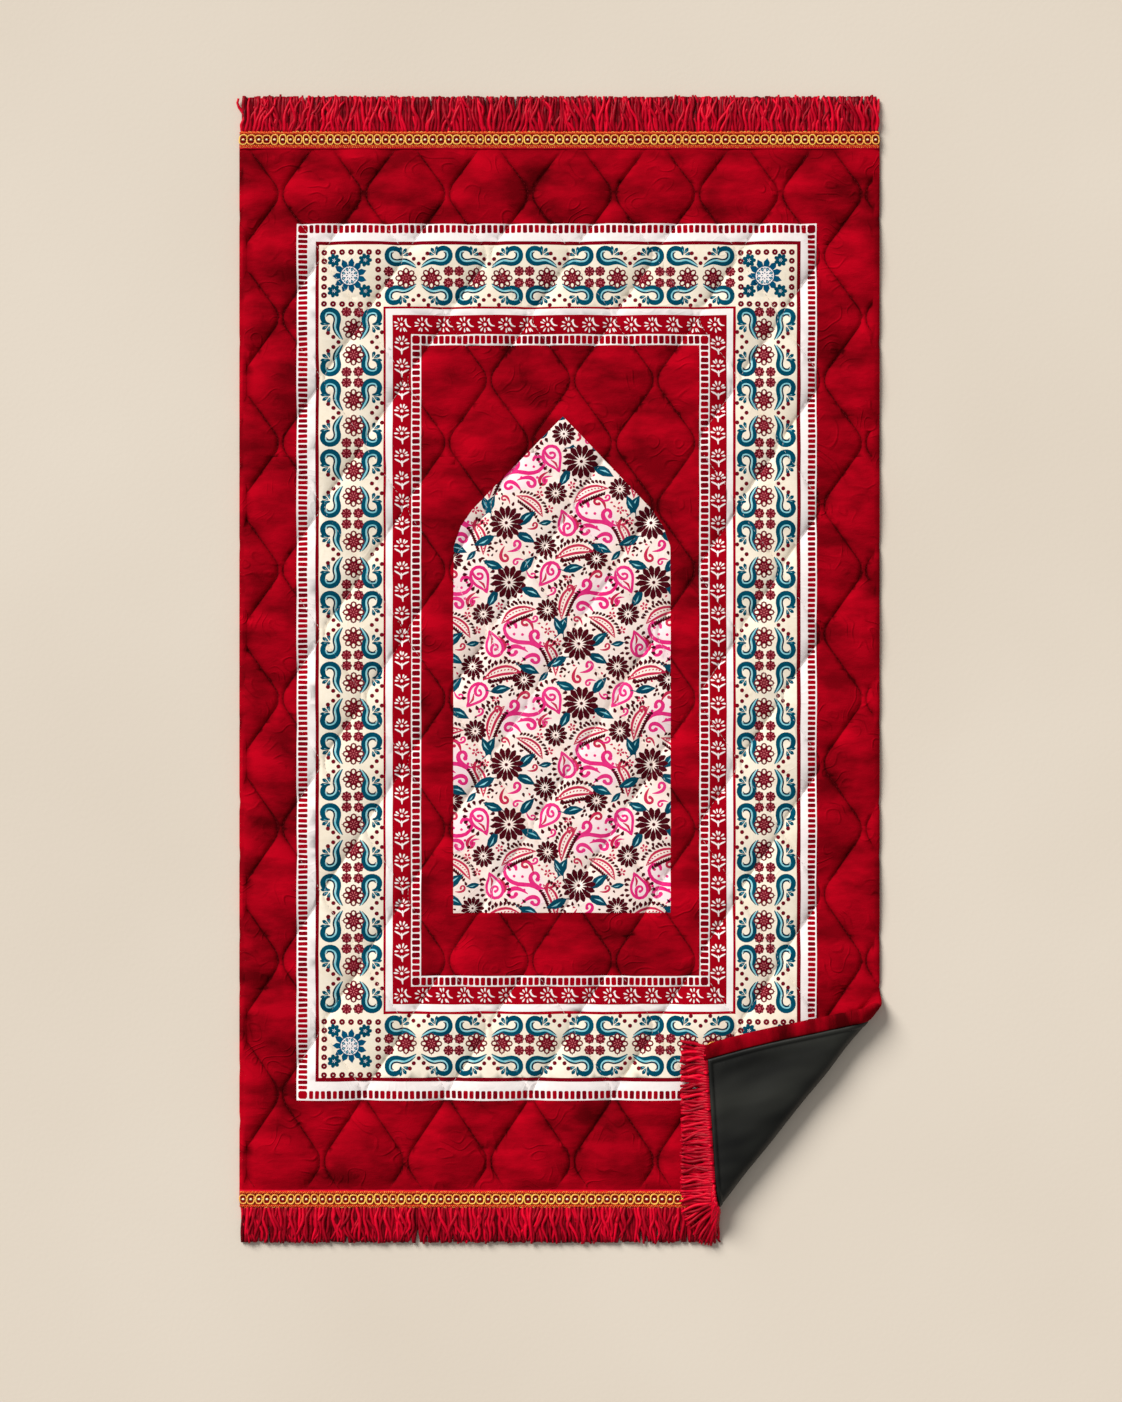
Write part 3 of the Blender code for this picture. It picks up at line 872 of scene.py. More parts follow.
def sums(tree, operation, first, second=0.0, third=0.0, clamp=False):
    values = {0: first, 1: second, 2: third}
    return addNode(tree, "ShaderNodeMath", values, operation=operation, use_clamp=clamp).outputs[0]


def mixColours(tree, share, first, second):
    values = {0: share, 6: first, 7: second}
    return addNode(tree, "ShaderNodeMix", values, data_type="RGBA").outputs[2]


def spread(tree, value, low, high):  # low to high becomes 0 to 1
    return addNode(tree, "ShaderNodeMapRange", {0: value, 1: low, 2: high}).outputs[0]


def stretch(tree, vector, scale):
    node = addNode(tree, "ShaderNodeVectorMath", {0: vector, 1: scale}, operation="MULTIPLY")
    return node.outputs[0]


def noiseAt(tree, vector, scale, detail=2.0, rough=0.5):
    values = {"Vector": vector, "Scale": scale, "Detail": detail, "Roughness": rough}
    return addNode(tree, "ShaderNodeTexNoise", values).outputs["Fac"]


def makeGroup(name, inputs, outputs):
    tree = bpy.data.node_groups.new(name, "ShaderNodeTree")
    for label, kind, start in inputs:
        socket = tree.interface.new_socket(label, in_out="INPUT", socket_type=kind)
        socket.default_value = start
    for label, kind in outputs:
        tree.interface.new_socket(label, in_out="OUTPUT", socket_type=kind)
    return tree, tree.nodes.new("NodeGroupInput").outputs, tree.nodes.new("NodeGroupOutput").inputs


number, vector, colour = "NodeSocketFloat", "NodeSocketVector", "NodeSocketColor"


# the seam share is painted shade along the stitched lines
napShade = {"patches": 0.6, "broad": 0.3, "pile": 0.25, "pressed": 0.05, "seam": 0.6}
napHeight = {"patches": 0.55, "pile": 0.16, "pressed": 0.5}


def makeNapGroup():  # brushed and crushed pile: where it lies light, and how high it stands; Shade also holds painted shade along the stitched lines
    tree, given, result = makeGroup(
        "velvetNap",
        [("Place", vector, (0, 0, 0)), ("Seam", number, 0.0), ("Crush", number, 1.0)],
        [("Shade", number), ("Height", number)],
    )
    place = given["Place"]
    swept = stretch(tree, place, (17, 36, 1))
    patches = spread(tree, noiseAt(tree, swept, 1.0, 4.0, 0.55), 0.36, 0.64)
    broad = spread(tree, noiseAt(tree, place, 11.0, 2.0), 0.35, 0.65)
    pile = noiseAt(tree, place, 900.0, 2.0)
    # pressed curves: the level lines of a slow noise, kept only here and there
    level = sums(tree, "MULTIPLY", noiseAt(tree, place, 27.0, 1.0), 9.0)
    toLine = sums(tree, "ABSOLUTE", sums(tree, "SUBTRACT", sums(tree, "FRACT", level), 0.5))
    line = spread(tree, toLine, 0.2, 0.0)
    kept = spread(tree, noiseAt(tree, place, 34.0, 0.0), 0.48, 0.66)
    pressed = sums(tree, "MULTIPLY", line, kept)
    shade = sums(tree, "MULTIPLY", patches, napShade["patches"])
    shade = sums(tree, "MULTIPLY_ADD", broad, napShade["broad"], shade)
    shade = sums(tree, "MULTIPLY_ADD", pile, napShade["pile"], shade)
    dark = sums(tree, "MULTIPLY", pressed, napShade["pressed"])
    shade = sums(tree, "SUBTRACT", shade, dark)
    # painted shade: darker towards the dark nap colour along the stitched lines
    dark = sums(tree, "MULTIPLY", given["Seam"], napShade["seam"])
    shade = sums(tree, "SUBTRACT", shade, dark, clamp=True)
    tree.links.new(shade, result["Shade"])
    height = sums(tree, "MULTIPLY", patches, napHeight["patches"])
    height = sums(tree, "MULTIPLY_ADD", pile, napHeight["pile"], height)
    height = sums(tree, "MULTIPLY_ADD", pressed, napHeight["pressed"], height)
    tree.links.new(sums(tree, "MULTIPLY", height, given["Crush"]), result["Height"])
    return tree


def makeInkGroup():  # ink on pile: uneven cover and short fibres, and painted seam shade that moves the ink towards its thin colour along the stitched lines
    tree, given, result = makeGroup(
        "printInk",
        [("Place", vector, (0, 0, 0)), ("Seam", number, 0.0), ("Full", colour, (1, 1, 1, 1)),
         ("Thin", colour, (1, 1, 1, 1))],
        [("Colour", colour)],
    )
    place = given["Place"]
    cover = spread(tree, noiseAt(tree, place, 240.0, 3.0, 0.7), 0.3, 0.7)
    clouds = spread(tree, noiseAt(tree, place, 22.0, 2.0), 0.35, 0.7)
    thin = sums(tree, "MULTIPLY_ADD", cover, 0.45, sums(tree, "MULTIPLY", clouds, 0.4))
    # painted shade along the stitched lines
    thin = sums(tree, "MULTIPLY_ADD", given["Seam"], 0.35, thin, clamp=True)
    tree.links.new(mixColours(tree, thin, given["Full"], given["Thin"]), result["Colour"])
    return tree


def makeTwistGroup():  # plies that wind round a yarn; Thread holds its length and its turn; the groove output masks the hollows between plies for painted shade
    tree, given, result = makeGroup(
        "yarnTwist",
        [("Thread", vector, (0, 0, 0)), ("Pitch", number, 0.004)],
        [("Height", number), ("GrooveShade", number)],
    )
    parts = addNode(tree, "ShaderNodeSeparateXYZ", {0: given["Thread"]}).outputs
    turns = sums(tree, "DIVIDE", sums(tree, "MULTIPLY", parts[0], 2 * pi), given["Pitch"])
    one = sums(tree, "MULTIPLY", sums(tree, "SINE", turns), parts[1])
    wave = sums(tree, "MULTIPLY_ADD", sums(tree, "COSINE", turns), parts[2], one)
    tree.links.new(wave, result["Height"])
    tree.links.new(spread(tree, wave, -0.2, -0.95), result["GrooveShade"])
    return tree


napGroup, inkGroup, twistGroup = makeNapGroup(), makeInkGroup(), makeTwistGroup()


def tone(red, green, blue):  # a colour as it looks on a screen, 0 to 255
    parts = [channel / 255 for channel in (red, green, blue)]
    parts = [p / 12.92 if p <= 0.04045 else ((p + 0.055) / 1.055) ** 2.4 for p in parts]
    return (*parts, 1)


def newMaterial(name, **sockets):
    material = bpy.data.materials.new(name)
    material.use_nodes = True
    shader = material.node_tree.nodes["Principled BSDF"]
    for label, value in sockets.items():
        shader.inputs[label.replace("_", " ")].default_value = value
    return material, material.node_tree, shader


def useGroup(tree, group, values):
    node = tree.nodes.new("ShaderNodeGroup")
    node.node_tree = group
    return feed(tree, node, values).outputs


def attribute(tree, name, output):
    return addNode(tree, "ShaderNodeAttribute", attribute_name=name).outputs[output]


def bump(tree, shader, height, strength, distance):
    values = {"Height": height, "Strength": strength, "Distance": distance}
    node = addNode(tree, "ShaderNodeBump", values)
    tree.links.new(node.outputs[0], shader.inputs["Normal"])


def velvetMaterial(name, dark, light):
    material, tree, shader = newMaterial(
        name, Roughness=0.9, Sheen_Weight=0.12, Sheen_Roughness=0.3,
        Sheen_Tint=(1.0, 0.02, 0.06, 1), Specular_IOR_Level=0.03,
    )
    place = attribute(tree, "flatPlace", "Vector")
    # painted shade along the stitched lines
    seam = attribute(tree, "paintedSeamShade", "Fac")
    nap = useGroup(tree, napGroup, {"Place": place, "Seam": seam, "Crush": 1.0})
    tree.links.new(mixColours(tree, nap["Shade"], dark, light), shader.inputs["Base Color"])
    bump(tree, shader, nap["Height"], 0.6, 0.0022)
    return material


def printMaterial(name, full, thin):
    material, tree, shader = newMaterial(name, Roughness=0.9, Specular_IOR_Level=0.03)
    place = attribute(tree, "flatPlace", "Vector")
    # painted shade along the stitched lines
    seam = attribute(tree, "paintedSeamShade", "Fac")
    inkLook = useGroup(tree, inkGroup, {"Place": place, "Seam": seam, "Full": full, "Thin": thin})
    tree.links.new(inkLook["Colour"], shader.inputs["Base Color"])
    nap = useGroup(tree, napGroup, {"Place": place, "Seam": seam, "Crush": 0.4})
    bump(tree, shader, nap["Height"], 0.5, 0.0014)
    return material


velvetLook = {"dark": (69, 0, 4), "light": (185, 1, 26)}
printColours = {  # each ink in full, and where it is thin
    "white": ((251, 245, 243), (238, 228, 227)),
    "cream": ((252, 243, 226), (242, 227, 203)),
    "brick": ((172, 2, 24), (132, 0, 14)),
    "deepRed": ((132, 2, 20), (104, 0, 14)),
    "teal": ((0, 60, 82), (3, 86, 110)),
    "starBlue": ((2, 66, 102), (5, 90, 124)),
    "deepTeal": ((2, 36, 56), (4, 56, 78)),
    "sky": ((164, 224, 230), (86, 176, 194)),
    "wine": ((92, 6, 24), (128, 22, 36)),
    "blossom": ((216, 118, 122), (176, 62, 80)),
    "petal": ((252, 240, 234), (248, 222, 208)),
    "magenta": ((222, 22, 112), (234, 70, 144)),
    "rose": ((188, 24, 66), (206, 62, 94)),
    "blush": ((253, 233, 234), (250, 222, 226)),
    "cocoa": ((58, 4, 14), (88, 14, 26)),
    "leaf": ((4, 54, 76), (8, 84, 106)),
}
velvet = velvetMaterial("velvet", tone(*velvetLook["dark"]), tone(*velvetLook["light"]))
clothMaterials = {"velvet": velvet}
for name, (full, thin) in printColours.items():
    clothMaterials[name] = printMaterial("print_" + name, tone(*full), tone(*thin))

# The velvet face. Its print is cut into the mesh, so that every ink keeps a clean edge.
face = {
    "cutSide": 318,  # the drawn part; beyond it the edge is rounded and turned under
    "tiles": (12, 20),
    "tileSteps": 6,
    "stitchStep": 5.0,
    "seamRows": (-4.4, -1.3, 1.3, 4.4),
    "foldStep": arcLength / 12,
    "startHeight": 6.0,  # where the way round the edge is measured from
    "level": 4.0,  # the usual height of the quilting near the edge
    "edge": [  # x, height; None keeps the height of the quilting
        (320.4, None), (322.4, None), (323.8, None), (324.6, None), (325.0, 1.9),
        (324.9, 1.0), (324.3, 0.35), (323.0, 0.0), (321.2, 0.0), (319.0, 0.0), (316.6, 0.0),
        (314.6, 0.0), (313.4, 0.0), (312.4, 0.0), (312.1, 0.9),
    ],
    "hemPuff": 2.2,
    "hemCrease": 2.0,
    "hemReach": 7.5,  # its end laps over the heading of the fringe
    "hemStep": 3.0,  # along the edge that is seen on the flap
    "notch": 0.9,
    "underFrom": 324.5,  # x below which the cloth is the hem under the rug
    "hemEnd": 311.5,
    "lapRound": (316, 9),
    "lapFrom": 529,
    # painted shade: near the seams at the rounded edge, and on the hem turned over on the flap
    "edgeShade": 0.5,
    "hemPaintedShade": 0.42,
    "endHeight": 1.5,
}


def boxOf(outline):
    xs, ys = [p[0] for p in outline], [p[1] for p in outline]
    return min(xs), max(xs), min(ys), max(ys)


def inBins(boxes, lefts, bottoms):  # which tiles each thing may reach
    bins = {}
    for index, (x0, x1, y0, y1) in enumerate(boxes):
        for i in range(len(lefts) - 1):
            if x1 < lefts[i] or x0 > lefts[i + 1]:
                continue
            for k in range(len(bottoms) - 1):
                if y1 >= bottoms[k] and y0 <= bottoms[k + 1]:
                    bins.setdefault((i, k), []).append(index)
    return bins


def clothLines():  # stitched lines and fold scores as short pieces, and points beside them
    side, end = face["cutSide"], rug["clothEnd"]
    pieces, beside = [], []
    for line in stitchedLines(face["stitchStep"]):
        pieces += list(zip(line, line[1:]))
        for k, (x, y) in enumerate(line):
            before, after = line[max(k - 1, 0)], line[min(k + 1, len(line) - 1)]
            dx, dy = after[0] - before[0], after[1] - before[1]
            size = sqrt(dx * dx + dy * dy)
            for off in face["seamRows"]:
                px, py = x + dy / size * off, y - dx / size * off
                if abs(px) < side - 1 and abs(py) < end - 1:
                    beside.append((px, py))
    for start, stop in scoreLines(face["foldStep"]):
        cut = clipLine(start, stop, side, end)
        if cut:
            pieces.append((tuple(cut[0]), tuple(cut[1])))
    beside += [(side, y) for y in np.arange(-end + 1.5, -end + 240, face["hemStep"])]
    return pieces, beside


def clipPiece(start, stop, x0, x1, y0, y1):
    middle = (x0 + x1) / 2, (y0 + y1) / 2
    moved = [(p[0] - middle[0], p[1] - middle[1]) for p in (start, stop)]
    cut = clipLine(*moved, (x1 - x0) / 2, (y1 - y0) / 2)
    if cut is None:
        return None
    return [(p[0] + middle[0], p[1] + middle[1]) for p in cut]


def insideOutline(outline, spots):
    x, y = spots[:, 0], spots[:, 1]
    crossed = np.zeros(len(spots), dtype=bool)
    for (x0, y0), (x1, y1) in zip(outline, outline[1:] + outline[:1]):
        if y0 != y1:
            crossed ^= ((y0 > y) != (y1 > y)) & (x < x0 + (x1 - x0) * (y - y0) / (y1 - y0))
    return crossed


def cutTile(box, pieces, beside, steps):
    x0, x1, y0, y1 = box
    points = [(x0, y0), (x1, y0), (x1, y1), (x0, y1)]
    edges = []
    for i in range(steps + 1):
        for k in range(steps + 1):
            points.append((x0 + (x1 - x0) * i / steps, y0 + (y1 - y0) * k / steps))
    points += [p for p in beside if x0 <= p[0] <= x1 and y0 <= p[1] <= y1]
    for start, stop in pieces:
        cut = clipPiece(start, stop, *box)
        if cut:
            points += cut
            edges.append((len(points) - 2, len(points) - 1))
    cut = delaunay_2d_cdt([Vector(p) for p in points], edges, [[0, 1, 2, 3]], 1, 0.02, False)
    return cut[0], cut[2]


def inkPicks(spots, tileInks):  # for each spot its material, and whether the field holds it
    names = list(clothMaterials)
    picks, held = np.zeros(len(spots), dtype=int), {}
    for index in sorted(tileInks):
        colourName, outline, within = inks[index]
        held[index] = insideOutline(outline, spots)
        shown = held[index] if within is None else held[index] & held.get(within, False)
        picks[shown] = names.index(colourName)
    return picks, held.get(fieldInk, np.zeros(len(spots), dtype=bool))


def cutCloth():  # one flat triangulation of the cloth, its print, stitching and fold
    side, end = face["cutSide"], rug["clothEnd"]
    across, up = face["tiles"]
    lefts = [-side + 2 * side * i / across for i in range(across + 1)]
    bottoms = [-end + 2 * end * k / up for k in range(up + 1)]
    pieces, beside = clothLines()
    for _, outline, _ in inks:
        pieces += list(zip(outline, outline[1:] + outline[:1]))
    inkBins = inBins([boxOf(outline) for _, outline, _ in inks], lefts, bottoms)
    pieceBins = inBins([boxOf(piece) for piece in pieces], lefts, bottoms)
    besideBins = inBins([boxOf([point]) for point in beside], lefts, bottoms)
    flat, known, triangles, picks, inField = [], {}, [], [], []
    for i in range(across):
        for k in range(up):
            box = (lefts[i], lefts[i + 1], bottoms[k], bottoms[k + 1])
            points, faces = cutTile(
                box, [pieces[n] for n in pieceBins.get((i, k), [])],
                [beside[n] for n in besideBins.get((i, k), [])], face["tileSteps"],
            )
            index = []
            for x, y in points:
                rim = min(abs(x - box[0]), abs(x - box[1]), abs(y - box[2]), abs(y - box[3]))
                key = (round(x, 2), round(y, 2)) if rim < 0.001 else (len(flat), None)
                if key not in known:
                    known[key] = len(flat)
                    flat.append((x, y))
                index.append(known[key])
            places = np.array(points)
            spots = places[np.array([list(corners) for corners in faces])].mean(axis=1)
            tilePicks, tileField = inkPicks(spots, inkBins.get((i, k), []))
            triangles += [[index[n] for n in corners] for corners in faces]
            picks += tilePicks.tolist()
            inField += tileField.tolist()
    return np.array(flat), triangles, picks, inField


def takePart(name, points, faces, picks, vectors, masks):  # a piece of some of the faces
    used = sorted({corner for corners in faces for corner in corners})
    fresh = {old: new for new, old in enumerate(used)}
    faces = [[fresh[corner] for corner in corners] for corners in faces]
    vectors = {label: [values[k] for k in used] for label, values in vectors.items()}
    masks = {label: [values[k] for k in used] for label, values in masks.items()}
    points = [points[k] for k in used]
    piece = makePiece(name, points, faces, clothMaterials.values(), picks, vectors, masks)
    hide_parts("quilt")
    return piece


def addQuads(cloth, quads, flip):
    cloth["faces"] += [quad[::-1] if flip else quad for quad in quads]
    cloth["picks"] += [0] * len(quads)


def turnEdge(cloth, flat, way):  # rounds one long edge and turns its hem under, row by row
    side = face["cutSide"]
    rim = [k for k, (x, y) in enumerate(flat) if abs(x - way * side) < 0.02]
    rim.sort(key=lambda k: flat[k][1])
    y = flat[rim, 1]
    before, spreadOut = rim, side
    lastX, lastZ = side, face["startHeight"]
    roundFrom, roundOver = face["lapRound"]
    for x, z in face["edge"]:
        top, close = quiltTop(np.full(len(rim), float(x)), y)
        levels = top if z is None else np.full(len(rim), float(z))
        level = face["level"] if z is None else z
        spreadOut += sqrt((x - lastX) ** 2 + (level - lastZ) ** 2)
        lastX, lastZ = x, level
        turnedOver = flapShare(np.column_stack((np.full(len(rim), way * x), y)))
        under = z is not None and x < face["underFrom"]
        across = (x - face["hemEnd"]) / (rug["halfWidth"] - face["hemEnd"])
        rounded = np.clip((x - roundFrom) / roundOver, 0, 1)
        puff = face["hemPuff"] * sqrt(max(4 * across * (1 - across), 0)) if under else 0
        here = [len(cloth["points"]) + k for k in range(len(rim))]
        for k in range(len(rim)):
            crease = noise.noise((x / 10 + y[k] / 11, y[k] / 30, 2.2)) * face["hemCrease"]
            crease *= puff / face["hemPuff"]
            lap = face["hemReach"] * soft((-y[k] - face["lapFrom"]) / 10)
            lap *= sqrt(max(1 - rounded**2, 0))
            lap *= turnedOver[k] if under else 0
            lift = (puff + crease) * turnedOver[k]
            inward = 0 if under else face["notch"] * close[k]
            cloth["points"].append((way * (x - inward), y[k] - lap, levels[k] - lift))
            cloth["places"].append((way * spreadOut, y[k]))
            # painted shade: the seam shade near the edge, and a darker hem where it is turned over
            shade = close[k] * face["edgeShade"] if z is None else face["hemPaintedShade"] * turnedOver[k]
            cloth["seamShadeValues"].append(shade)
        steps = range(len(rim) - 1)
        quads = [[before[k], here[k], here[k + 1], before[k + 1]] for k in steps]
        addQuads(cloth, quads, way < 0)
        before = here


def closeEnd(cloth, flat, way):  # the cut end, under the braid, fully darkened with painted seam shade
    rim = [k for k, (x, y) in enumerate(flat) if abs(y - way * rug["clothEnd"]) < 0.02]
    rim.sort(key=lambda k: flat[k][0])
    here = [len(cloth["points"]) + k for k in range(len(rim))]
    for k in rim:
        x, y = flat[k]
        cloth["points"].append((x, y, face["endHeight"]))
        cloth["places"].append((x, y))
        cloth["seamShadeValues"].append(1.0)
    steps = range(len(rim) - 1)
    addQuads(cloth, [[rim[k], rim[k + 1], here[k + 1], here[k]] for k in steps], way < 0)


def buildVelvet():  # the face with its hems, and the field with the niche, edge to edge
    flat, faces, picks, inField = cutCloth()
    height, near = quiltTop(flat[:, 0], flat[:, 1])
    height = height + wrinkles(flat[:, 0], flat[:, 1], near)
    cloth = {
        "points": [(x, y, z) for (x, y), z in zip(flat, height)],
        "places": [(x, y) for x, y in flat],
        "seamShadeValues": list(near),
        "faces": faces,
        "picks": picks,
    }
    for way in (-1, 1):
        turnEdge(cloth, flat, way)
    for way in (-1, 1):
        closeEnd(cloth, flat, way)
    inField += [False] * (len(faces) - len(inField))
    vectors = {"flatPlace": [(x * 0.001, y * 0.001, 0) for x, y in cloth["places"]]}
    # painted shade along the stitched lines, at the cut ends and on the turned hem, kept as a mask
    # for the shaders
    masks = {"paintedSeamShade": cloth["seamShadeValues"]}
    points = foldOver(cloth["points"])
    parts = []
    for name, wanted in (("velvetFace", False), ("velvetField", True)):
        chosen = [k for k, inside in enumerate(inField) if inside == wanted]
        chosenFaces, chosenPicks = [faces[k] for k in chosen], [picks[k] for k in chosen]
        parts.append(takePart(name, points, chosenFaces, chosenPicks, vectors, masks))
    return parts


velvetFace, velvetField = buildVelvet()
print(f"velvet: {len(velvetFace.data.polygons)} and {len(velvetField.data.polygons)} faces")

# The black backing: a coated sheet whose raised, turned edge shows on the flap
backing = {
    "halfWidth": 311.8,
    "end": 543.0,
    "rim": 4.4,
    "rimHeight": 1.2,
    "pucker": 0.5,
    "swell": 2.6,
    "coarse": 26.0,
    "fine": 5.0,
    "scored": 200,
    "rimRows": (0, 0.7, 1.6, 2.6, 3.6, 4.4, 5.2, 6.4),
    "rimStep": 3,
    "rimPoints": 87,
    "dip": (0.35, 1.0, 1.6),  # depth, distance from the rim, width
    "turnedIn": 1.2,
}


def backingMaterial():
    material, tree, shader = newMaterial("backingCloth", Specular_IOR_Level=0.24)
    place = attribute(tree, "flatPlace", "Vector")
    values = {"Vector": place, "Rotation": (0, 0, radians(35)), "Scale": (1.0, 0.35, 1.0)}
    swept = addNode(tree, "ShaderNodeMapping", values)
    # painted sheen: broad diagonal streaks of lighter and darker colour stand in for soft
    # reflections on the coated black
    clouds = spread(tree, noiseAt(tree, swept.outputs[0], 26.0, 2.0), 0.36, 0.66)
    look = mixColours(tree, clouds, tone(4, 5, 4), tone(36, 37, 33))
    tree.links.new(look, shader.inputs["Base Color"])
    rough = sums(tree, "MULTIPLY_ADD", noiseAt(tree, place, 40.0, 3.0), 0.16, 0.38)
    tree.links.new(rough, shader.inputs["Roughness"])
    values = {"Vector": place, "Scale": 330.0}
    warp = addNode(tree, "ShaderNodeTexWave", values, bands_direction="X")
    weft = addNode(tree, "ShaderNodeTexWave", values, bands_direction="Y")
    weave = sums(tree, "ADD", warp.outputs["Fac"], weft.outputs["Fac"])
    weave = sums(tree, "MULTIPLY_ADD", noiseAt(tree, place, 120.0, 3.0), 1.2, weave)
    bump(tree, shader, weave, 0.15, 0.0003)
    return material


def backingRelief(flat):  # how far the backing stands out of its plane, on the flap alone
    x, y = flat[:, 0], flat[:, 1]
    inSide = backing["halfWidth"] - np.abs(x)
    inEnd = backing["end"] - np.abs(y)
    inward = np.minimum(inSide, inEnd)
    rim = np.clip(inward / backing["rim"], 0, 1)
    roll = backing["rimHeight"] * np.sqrt(np.clip(4 * rim * (1 - rim), 0, 1))
    depth, apart, width = backing["dip"]
    dip = depth * np.exp(-((inward - backing["rim"] - apart) / width) ** 2)
    folds = []
    for px, py, away in zip(x, y, inSide):
        ridge = noise.noise((py / 12, away / 60, 1.7))
        broad = noise.noise((px / 36, py / 52, 6.1))
        fade = np.exp(-max(away - 5, 0) / 16)
        folds.append(backing["pucker"] * ridge * fade + backing["swell"] * broad)
    inner = soft((inward - backing["rim"]) / 14)
    return (roll - dip + np.array(folds) * inner) * flapShare(flat)


def cutBacking():  # a coarse grid, with rows along the fold and along the raised rim
    side, end = backing["halfWidth"], backing["end"]
    points = [(-side, -end), (side, -end), (side, end), (-side, end)]
    edges = []
    columns, rows = round(2 * side / backing["coarse"]), round(2 * end / backing["coarse"])
    for i in range(columns + 1):
        for k in range(rows + 1):
            points.append((-side + 2 * side * i / columns, -end + 2 * end * k / rows))
    for out in np.arange(0, arcLength + backing["scored"], face["foldStep"]):
        cut = clipLine(*foldLine(out), side, end)
        if cut is None:
            continue
        run = cut[1] - cut[0]
        count = max(int(sqrt(run @ run) / backing["fine"]), 1)
        first = len(points)
        points += [tuple(cut[0] + run * k / count) for k in range(count + 1)]
        edges += [(first + k, first + k + 1) for k in range(count)]
    count, step = backing["rimPoints"], backing["rimStep"]
    for inward in backing["rimRows"]:
        for alongX, alongY in ((0, step), (-step, 0)):
            first = len(points)
            for k in range(count):
                points.append((side - inward + k * alongX, -end + inward + k * alongY))
            edges += [(first + k, first + k + 1) for k in range(count - 1)]
    cut = delaunay_2d_cdt([Vector(p) for p in points], edges, [[0, 1, 2, 3]], 1, 0.02, False)
    return np.array([tuple(v) for v in cut[0]]), [list(corners)[::-1] for corners in cut[2]]


def buildBacking():
    side, end = backing["halfWidth"], backing["end"]
    flat, faces = cutBacking()
    relief = backingRelief(flat)
    shaped = [(x, y, -rise) for (x, y), rise in zip(flat, relief)]
    places = [(x * 0.001, y * 0.001, 0) for x, y in flat]
    rim = [(k, x, y) for k, (x, y) in enumerate(flat)
           if side - abs(x) < 0.02 or end - abs(y) < 0.02]
    rim.sort(key=lambda item: np.arctan2(item[2] / end, item[1] / side))
    first = len(shaped)
    for k, x, y in rim:  # the edge, turned in against the velvet
        shaped.append((x, y, backing["turnedIn"]))
        places.append((x * 0.001, y * 0.001, backing["turnedIn"] * 0.001))
    for k in range(len(rim)):
        after = (k + 1) % len(rim)
        faces.append([rim[k][0], rim[after][0], first + after, first + k])
    piece = makePiece("backingSheet", foldOver(shaped), faces, [backingMaterial()],
                      vectors={"flatPlace": places})
    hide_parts("backing")
    return piece


backingSheet = buildBacking()
print(f"backing: {len(backingSheet.data.polygons)} faces")


# Threads, yarns and cords: many tubes in one mesh
def tubes(runs, sides):  # a run is a list of points, a list of radii and a shade from 0 to 1
    points, faces, threads, shades = [], [], [], []
    angles = [2 * pi * k / sides for k in range(sides)]
    for path, radii, shade in runs:
        path = [Vector(p) for p in path]
        first = len(points)
        along = 0.0
        across = None
        for k, here in enumerate(path):
            ahead = (path[min(k + 1, len(path) - 1)] - path[max(k - 1, 0)]).normalized()
            if across is None:
                up = Vector((0, 0, 1)) if abs(ahead.z) < 0.9 else Vector((1, 0, 0))
                across = ahead.cross(up).normalized()
            across = (across - ahead * across.dot(ahead)).normalized()
            over = across.cross(ahead)
            if k:
                along += (here - path[k - 1]).length
            for angle in angles:
                points.append(here + (across * cos(angle) + over * sin(angle)) * radii[k])
                threads.append((along * 0.001, cos(angle), sin(angle)))
                shades.append(shade)
        for k in range(len(path) - 1):
            low = first + k * sides
            for n in range(sides):
                m = (n + 1) % sides
                faces.append((low + n, low + m, low + sides + m, low + sides + n))
        faces.append(tuple(first + n for n in range(sides))[::-1])
        last = first + (len(path) - 1) * sides
        faces.append(tuple(last + n for n in range(sides)))
    return points, faces, threads, shades


def joinTubes(name, groups, materials):  # each group is what tubes gives, with its material
    points, faces, threads, shades, picks = [], [], [], [], []
    for pick, group in groups:
        first = len(points)
        points += group[0]
        faces += [tuple(corner + first for corner in corners) for corners in group[1]]
        threads += group[2]
        shades += group[3]
        picks += [pick] * len(group[1])
    return makePiece(name, [tuple(p) for p in points], faces, materials, picks,
                     {"thread": threads}, {"shade": shades})


def threadMaterial(name, dark, light, pitch, depth, **sockets):
    material, tree, shader = newMaterial(name, **sockets)
    thread = attribute(tree, "thread", "Vector")
    shade = attribute(tree, "shade", "Fac")
    twist = useGroup(tree, twistGroup, {"Thread": thread, "Pitch": pitch})
    # painted shade: a little darker in the grooves between the plies
    grooveShade = sums(tree, "MULTIPLY", twist["GrooveShade"], 0.07)
    share = sums(tree, "SUBTRACT", shade, grooveShade, clamp=True)
    tree.links.new(mixColours(tree, share, dark, light), shader.inputs["Base Color"])
    bump(tree, shader, twist["Height"], 0.8, depth)
    return material


yarnRed = threadMaterial(
    "yarnRed", tone(46, 0, 3), tone(224, 2, 43), 0.009, 0.00005,
    Roughness=0.42, Specular_IOR_Level=0.1,
)
goldThread = threadMaterial(
    "goldThread", tone(226, 84, 14), tone(255, 208, 88), 0.0016, 0.0001,
    Roughness=0.38, Specular_IOR_Level=0.5,
)
orangeThread = threadMaterial(
    "orangeThread", tone(190, 14, 8), tone(255, 112, 34), 0.0016, 0.0001,
    Roughness=0.45, Specular_IOR_Level=0.3,
)
beadThread = threadMaterial(
    "beadThread", tone(255, 222, 150), tone(255, 250, 212), 0.0016, 0.0001,
    Roughness=0.5, Specular_IOR_Level=0.2,
)
braidGround = threadMaterial(
    "braidGround", tone(110, 0, 4), tone(176, 2, 10), 0.0012, 0.0002,
    Roughness=0.7, Specular_IOR_Level=0.15,
)

